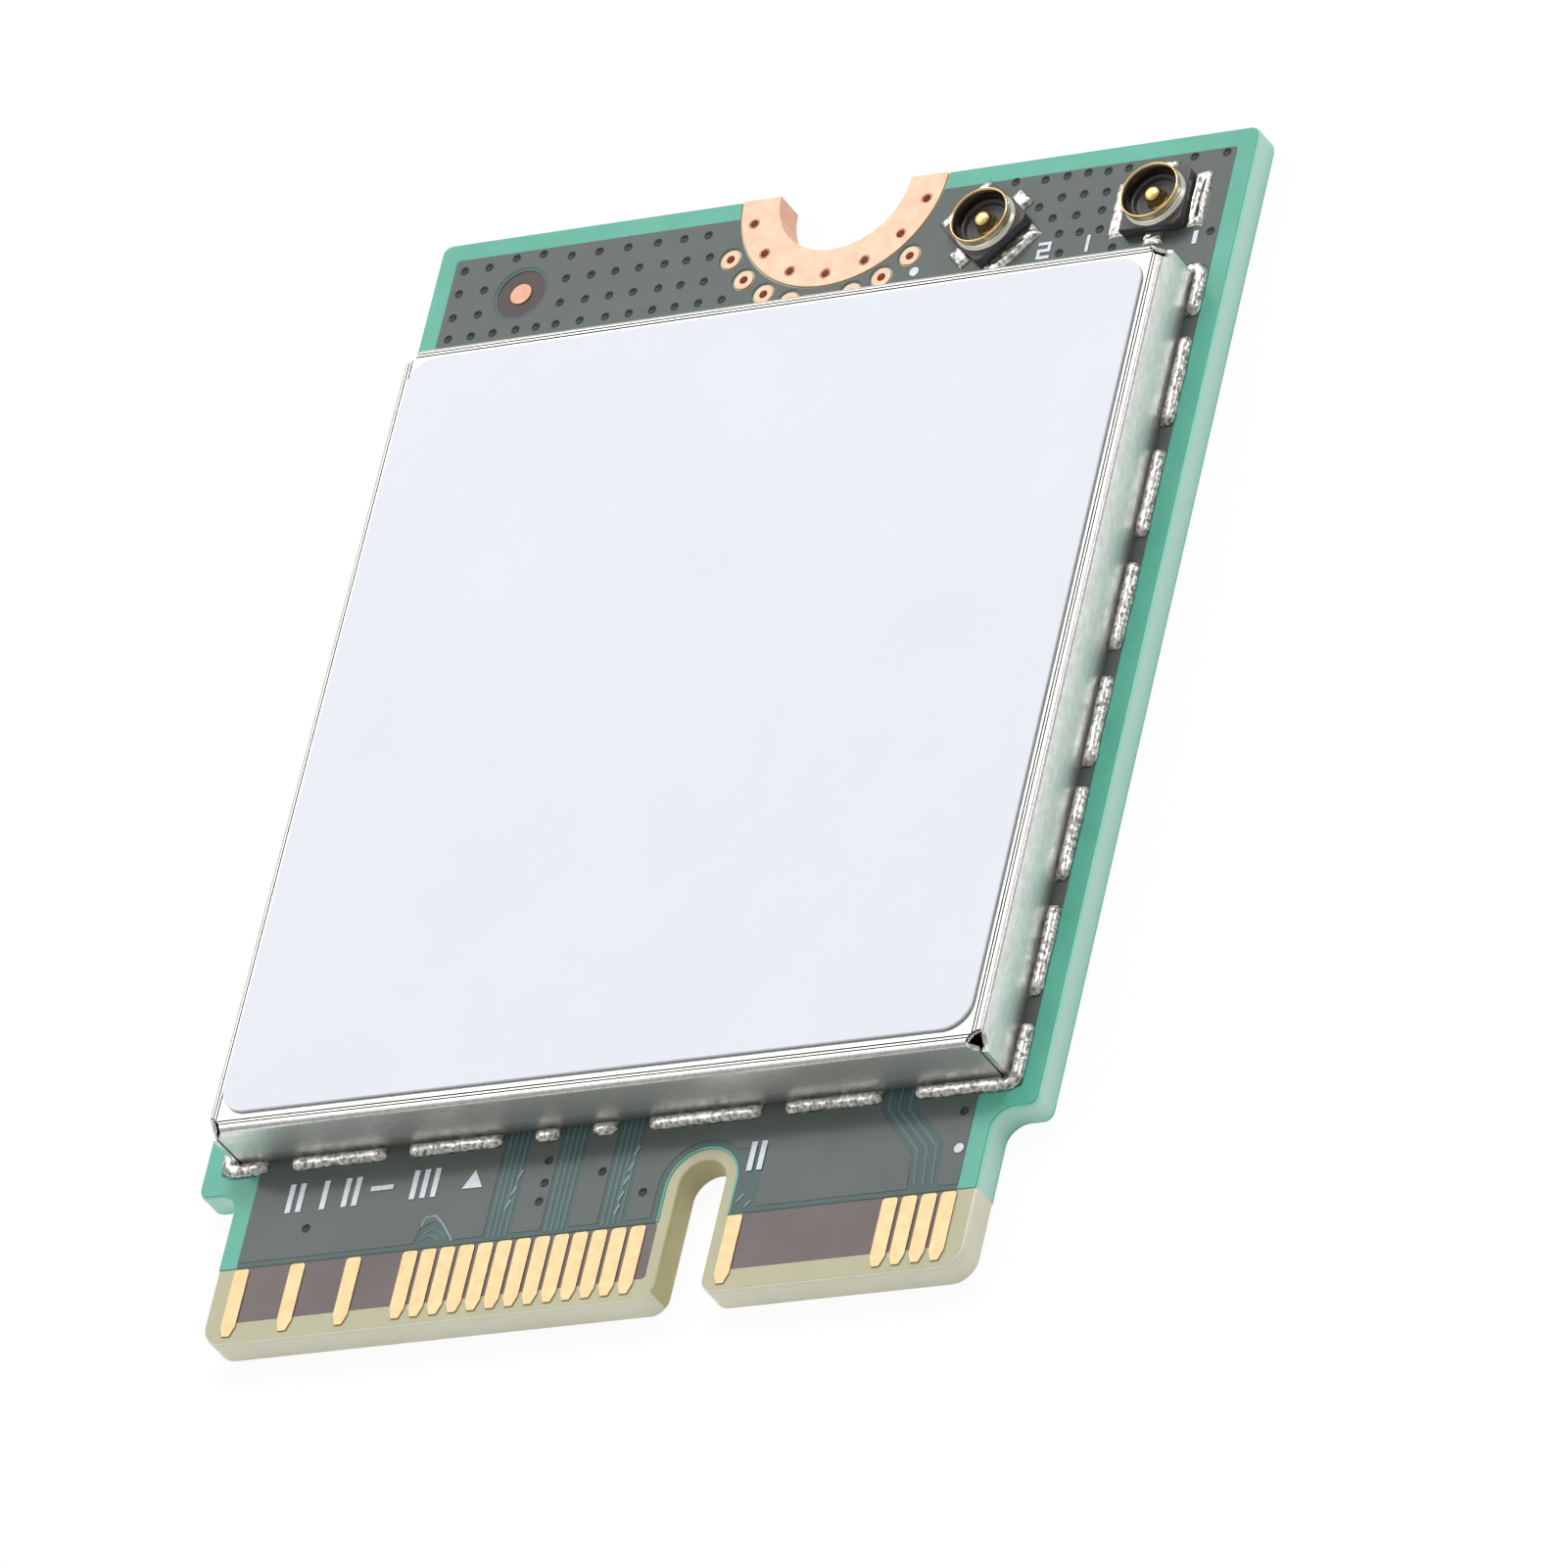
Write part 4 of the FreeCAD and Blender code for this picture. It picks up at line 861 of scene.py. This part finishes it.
def straight_path(start, end, out):
    """Points along a straight foot, each with the way out from the wall."""
    count = max(2, round((Vector(end) - Vector(start)).length / BEAD_STEP))
    return [(Vector(start).lerp(Vector(end), i / count), Vector(out)) for i in range(count + 1)]


def corner_path(corner, first, last):
    """Points at a corner, where the way out turns from one side's to the next one's."""
    turn = Vector(first).angle_signed(Vector(last))
    path = []
    for i in range(1, CORNER_STEPS):
        spin = Matrix.Rotation(-turn * i / CORNER_STEPS, 2)
        path.append((Vector(corner), spin @ Vector(first)))
    return path


def bead_mesh(path, seed):
    """One bead along a path: a tube with a crease at the wall, a grainy foot and round ends."""
    lengths = [0.0]
    for (place, out), (after, next_out) in zip(path, path[1:]):
        step = (after + next_out * BEAD_WIDTH / 2) - (place + out * BEAD_WIDTH / 2)
        lengths.append(lengths[-1] + step.length)
    whole = lengths[-1]
    cap = min(BEAD_END, whole / 2.2)
    rows = []
    for (place, out), run in zip(path, lengths):
        edge = min(run, whole - run, cap) / cap
        size = math.sqrt(max(1 - (1 - edge) ** 2, 0.0)) * 0.97 + 0.03
        swell = 1 + 0.1 * noise.noise(Vector((run * 1.3, seed * 7.1, 0.0)))
        row = []
        for i, (across, up) in enumerate(BEAD_PROFILE):
            grain = noise.noise(Vector((run * 7.0, across * 5.0, seed * 3.3))) * 0.014
            fine = noise.noise(Vector((run * 19.0, across * 12.0, seed * 5.7))) * 0.005
            lift = (grain + fine) if 1 < i < len(BEAD_PROFILE) - 1 else 0.0
            reach = max(across, -0.06) * BEAD_WIDTH * (0.55 + 0.45 * size) * swell
            shift = place + out * (reach + lift)
            height = TOP + up * BEAD_HEIGHT * size * swell + lift * (0.5 + 0.5 * size)
            row.append((shift.x, shift.y, max(height, MASK_FACE)))
        rows.append(row)
    return grid_mesh(rows, closed_columns=True, caps=True)


def solder_beads():
    """All beads: those of the photographed sides as they lie, the others in the same way."""
    left, right, low, high = CAN
    sides = {"front": (0, -1), "right": (1, 0), "back": (0, 1), "left": (-1, 0)}
    paths = []
    for start, end in FRONT_BEADS:
        paths.append(straight_path((start, low), (end, low), sides["front"]))
    for start, end in SIDE_BEADS:
        paths.append(straight_path((right, EDGE + start), (right, EDGE + end), sides["right"]))
        paths.append(straight_path((left, EDGE + end), (left, EDGE + start), sides["left"]))
    for start, end in BACK_BEADS:
        paths.append(straight_path((end, high), (start, high), sides["back"]))
    side = EDGE + CORNER_REACH["side"]
    paths.append(
        straight_path((CORNER_REACH["front"], low), (right, low), sides["front"])
        + corner_path((right, low), sides["front"], sides["right"])
        + straight_path((right, low), (right, side), sides["right"]))
    paths.append(
        straight_path((left, side), (left, low), sides["left"])
        + corner_path((left, low), sides["left"], sides["front"])
        + straight_path((left, low), (CORNER_REACH["front_left"], low), sides["front"]))
    side, reach = EDGE + CORNER_REACH["side_back"], CORNER_REACH["back"]
    paths.append(
        straight_path((right, side), (right, high), sides["right"])
        + corner_path((right, high), sides["right"], sides["back"])
        + straight_path((right, high), (reach, high), sides["back"]))
    paths.append(
        straight_path((-reach, high), (left, high), sides["back"])
        + corner_path((left, high), sides["back"], sides["left"])
        + straight_path((left, high), (left, side), sides["left"]))
    return join_meshes([bead_mesh(path, seed) for seed, path in enumerate(paths)])


piece("solder_beads", solder_beads(), [SOLDER_LOOK], "solder", "can_solder")


# Antenna sockets

BASE_HALF = 0.8
BASE_HEIGHT = 0.3
BASE_CUT = 0.14  # off two of its corners
WELL = 0.56  # radius
WELL_FLOOR = 0.16
PAD_HEIGHT = 0.128
# profiles are pairs of radius and height
RING_PROFILE = (
    (0.64, 0.29), (0.79, 0.29), (0.792, 0.315), (0.775, 0.335), (0.735, 0.35), (0.712, 0.39),
    (0.704, 0.43), (0.706, 0.47), (0.722, 0.51), (0.745, 0.54), (0.752, 0.575), (0.748, 0.605),
    (0.735, 0.62), (0.717, 0.622), (0.702, 0.612), (0.69, 0.585), (0.66, 0.55), (0.642, 0.5),
)
PIN_PROFILE = (
    (0.0, 0.12), (0.27, 0.12), (0.27, 0.185), (0.255, 0.2), (0.225, 0.215), (0.214, 0.26),
    (0.212, 0.4), (0.2, 0.45), (0.17, 0.487), (0.12, 0.51), (0.06, 0.52), (0.0, 0.522),
)
WELL_PROFILE = (
    (0.0, 0.02), (0.6, 0.02), (0.6, WELL_FLOOR + 0.03), (0.52, WELL_FLOOR + 0.012),
    (0.44, WELL_FLOOR), (0.3, WELL_FLOOR), (0.0, WELL_FLOOR),
)


def blob_mesh(x, y, width, length, height, seed, pit=0.0):
    """A pad of solder: steep round sides and an uneven top, with a pit along it where one shows."""
    columns, lines = 18, 30  # quads across and along
    rows = []
    for i in range(lines + 1):
        v = 2 * i / lines - 1
        row = []
        for j in range(columns + 1):
            u = 2 * j / columns - 1
            rise = (1 - abs(u) ** 5) * (1 - abs(v) ** 7)
            wave = noise.noise(Vector((u * 1.6 * width * 2, v * 1.6 * length * 2, seed * 4.7)))
            fine = noise.noise(Vector((u * width * 6, v * length * 6, seed * 2.9)))
            hollow = pit * max(0.0, 1 - (u * 1.9) ** 2) * max(0.0, 1 - (v * 1.25) ** 4)
            z = height * rise ** 0.6 * (0.86 + 0.14 * wave + 0.06 * fine - hollow)
            squeeze = 1 + 0.03 * wave
            row.append((x + u * width / 2 * squeeze, y + v * length / 2 * squeeze, max(z, 0.0)))
        rows.append(row)
    top = grid_mesh(rows)
    made = bmesh.new()
    made.from_mesh(top)
    bpy.data.meshes.remove(top)
    rim = [edge for edge in made.edges if edge.is_boundary]
    skirt = bmesh.ops.extrude_edge_only(made, edges=rim)["geom"]
    low = [vert for vert in skirt if isinstance(vert, bmesh.types.BMVert)]
    for vert in low:
        vert.co.z = -0.01
    bottom = [edge for edge in made.edges if edge.is_boundary]
    bmesh.ops.contextual_create(made, geom=bottom)
    bmesh.ops.recalc_face_normals(made, faces=made.faces)
    for face in made.faces:
        face.smooth = True
    mesh = bpy.data.meshes.new("blob")
    made.to_mesh(mesh)
    made.free()
    return mesh


def socket_base():
    """Moulded base with two cut corners and a well for the pin."""
    half, cut = BASE_HALF, BASE_CUT
    outline = [(-half, -half), (half - cut, -half), (half, -half + cut), (half, half - cut),
               (half - cut, half), (-half, half)]
    return join_meshes([
        plate_mesh([outline, circle(0, 0, WELL, 48)], 0.0, BASE_HEIGHT, 0.025, 3),
        lathe_mesh(WELL_PROFILE, 0, 0, 48),
    ])


def inward(x, y):
    """A test for the faces inside a ring about this place, below its lip, which take painted shade.
    """
    def test(face):
        out = face.center.xy - Vector((x, y))
        return face.normal.xy.dot(out) < 0 and face.center.z < TOP + 0.57
    return test


for side, (x, y, turn) in SOCKETS.items():
    seat = Matrix.Translation((x, y, TOP)) @ Matrix.Rotation(math.radians(turn), 4, "Z")
    long_pad, short_pad = BASE_HALF + 0.22, BASE_HALF + 0.16  # from the socket's centre
    pit = 0.45 if side == "right" else 0.0
    pads = [
        blob_mesh(long_pad, 0.0, 0.46, 1.55, PAD_HEIGHT, 1.0 + x, pit),
        blob_mesh(-long_pad, 0.0, 0.46, 1.55, PAD_HEIGHT, 2.0 + x),
        blob_mesh(0.0, short_pad, 0.56, 0.36, PAD_HEIGHT, 3.0 + x),
        blob_mesh(0.0, -short_pad, 0.56, 0.36, PAD_HEIGHT, 4.0 + x),
    ]
    ring_looks = [SOCKET_LOOK, RING_SHADE_LOOK]
    for what, mesh, looks, slot in (
        ("base", socket_base(), [BASE_LOOK], "socket_base"),
        ("ring", lathe_mesh(RING_PROFILE, 0, 0, 96), ring_looks, "socket_metal"),
        ("pin", lathe_mesh(PIN_PROFILE, 0, 0, 48), [PIN_LOOK], "socket_metal"),
        ("solder", join_meshes(pads), [SOLDER_LOOK], "solder"),
    ):
        mesh.transform(seat)
        piece(f"{side}_socket_{what}", mesh, looks, slot, f"{side}_antenna_{what}",
              choose=inward(x, y) if what == "ring" else None)


# Camera, as fitted to the board's standard points in the photo

AIM = Vector((1.681, -1.019, 0.0)) * MM
AZIMUTH = math.radians(45.77)
ELEVATION = math.radians(43.61)
ROLL = math.radians(42.55)
DISTANCE = 361.93 * MM
LENS = 371.19

back = Vector((
    math.sin(AZIMUTH) * math.cos(ELEVATION),
    -math.cos(AZIMUTH) * math.cos(ELEVATION),
    math.sin(ELEVATION),
))
level_right = Vector((math.cos(AZIMUTH), math.sin(AZIMUTH), 0.0))
level_up = back.cross(level_right)
right = level_right * math.cos(ROLL) - level_up * math.sin(ROLL)
up = level_right * math.sin(ROLL) + level_up * math.cos(ROLL)
camera = bpy.data.objects.new("camera", bpy.data.cameras.new("camera"))
camera.data.lens = LENS
camera.data.sensor_width = 36.0
camera.data.clip_start = 0.01
camera.matrix_world = Matrix.Translation(AIM + back * DISTANCE) @ Matrix(
    (right, up, back)).transposed().to_4x4()
scene.collection.objects.link(camera)
scene.camera = camera


# Floor and lights

FLOOR_WHITE = 0.93  # share of plain white; the rest keeps the shadow


def floor_material():
    """Matt table that stays white to the camera and in the metal, and keeps a faint shadow."""
    made = Nodes("pale_table").set(Roughness=0.9, Specular_IOR_Level=0.1)
    made.link(made.ramp(made.noise(40.0), (0.3, rgb(246, 246, 246)), (0.7, rgb(248, 248, 248))),
              "Base Color")
    tree = made.tree
    path = tree.nodes.new("ShaderNodeLightPath")
    seen = path.outputs["Is Camera Ray"]
    for other in ("Is Glossy Ray", "Is Transmission Ray"):
        both = tree.nodes.new("ShaderNodeMath")
        both.operation = "MAXIMUM"
        tree.links.new(seen, both.inputs[0])
        tree.links.new(path.outputs[other], both.inputs[1])
        seen = both.outputs[0]
    share = tree.nodes.new("ShaderNodeMath")
    share.operation = "MULTIPLY"
    share.inputs[1].default_value = FLOOR_WHITE
    tree.links.new(seen, share.inputs[0])
    white = tree.nodes.new("ShaderNodeEmission")
    white.inputs["Strength"].default_value = 1.0
    mix = tree.nodes.new("ShaderNodeMixShader")
    tree.links.new(share.outputs[0], mix.inputs[0])
    tree.links.new(made.shader.outputs[0], mix.inputs[1])
    tree.links.new(white.outputs[0], mix.inputs[2])
    tree.links.new(mix.outputs[0], tree.nodes["Material Output"].inputs["Surface"])
    return made.material


FLOOR_HALF = 0.6  # metres
floor_mesh = bpy.data.meshes.new("floor")
floor_mesh.from_pydata(
    [(-FLOOR_HALF, -FLOOR_HALF, 0), (FLOOR_HALF, -FLOOR_HALF, 0),
     (FLOOR_HALF, FLOOR_HALF, 0), (-FLOOR_HALF, FLOOR_HALF, 0)],
    [], [(0, 1, 2, 3)])
floor = bpy.data.objects.new("floor", floor_mesh)
floor_mesh.materials.append(floor_material())
scene.collection.objects.link(floor)


def studio_world(bright, least, most):
    """Sky that is brightest towards one direction and falls off smoothly away from it."""
    world = bpy.data.worlds.new("studio")
    world.use_nodes = True
    tree = world.node_tree
    place = tree.nodes.new("ShaderNodeTexCoord")
    facing = tree.nodes.new("ShaderNodeVectorMath")
    facing.operation = "DOT_PRODUCT"
    facing.inputs[1].default_value = bright
    tree.links.new(place.outputs["Generated"], facing.inputs[0])
    level = tree.nodes.new("ShaderNodeMapRange")
    level.inputs["From Min"].default_value = -0.2
    level.inputs["From Max"].default_value = 1.0
    level.inputs["To Min"].default_value = least
    level.inputs["To Max"].default_value = most
    tree.links.new(facing.outputs["Value"], level.inputs["Value"])
    background = tree.nodes["Background"]
    background.inputs["Color"].default_value = (1.0, 1.0, 1.0, 1.0)
    tree.links.new(level.outputs["Result"], background.inputs["Strength"])
    scene.world = world


studio_world((-0.52, 0.505, 0.69), 0.38, 0.73)


def soft_box(name, place, size, power):
    """A square studio light that faces the card: place and size in metres, power in watts."""
    light = bpy.data.lights.new(name, "AREA")
    light.size = size
    light.energy = power
    thing = bpy.data.objects.new(name, light)
    thing.location = place
    thing.rotation_euler = (-Vector(place)).to_track_quat("-Z", "Y").to_euler()
    scene.collection.objects.link(thing)


soft_box("key_light", (0.0, 0.504, 0.622), 0.18, 2.35)
soft_box("front_light", (-0.467, -0.09, 0.765), 0.45, 0.55)
soft_box("sheen_light", (-0.468, 0.455, 0.621), 0.6, 1.6)
soft_box("side_light", (0.62, 0.455, 0.467), 0.36, 0.45)
scene.view_settings.view_transform = "Standard"
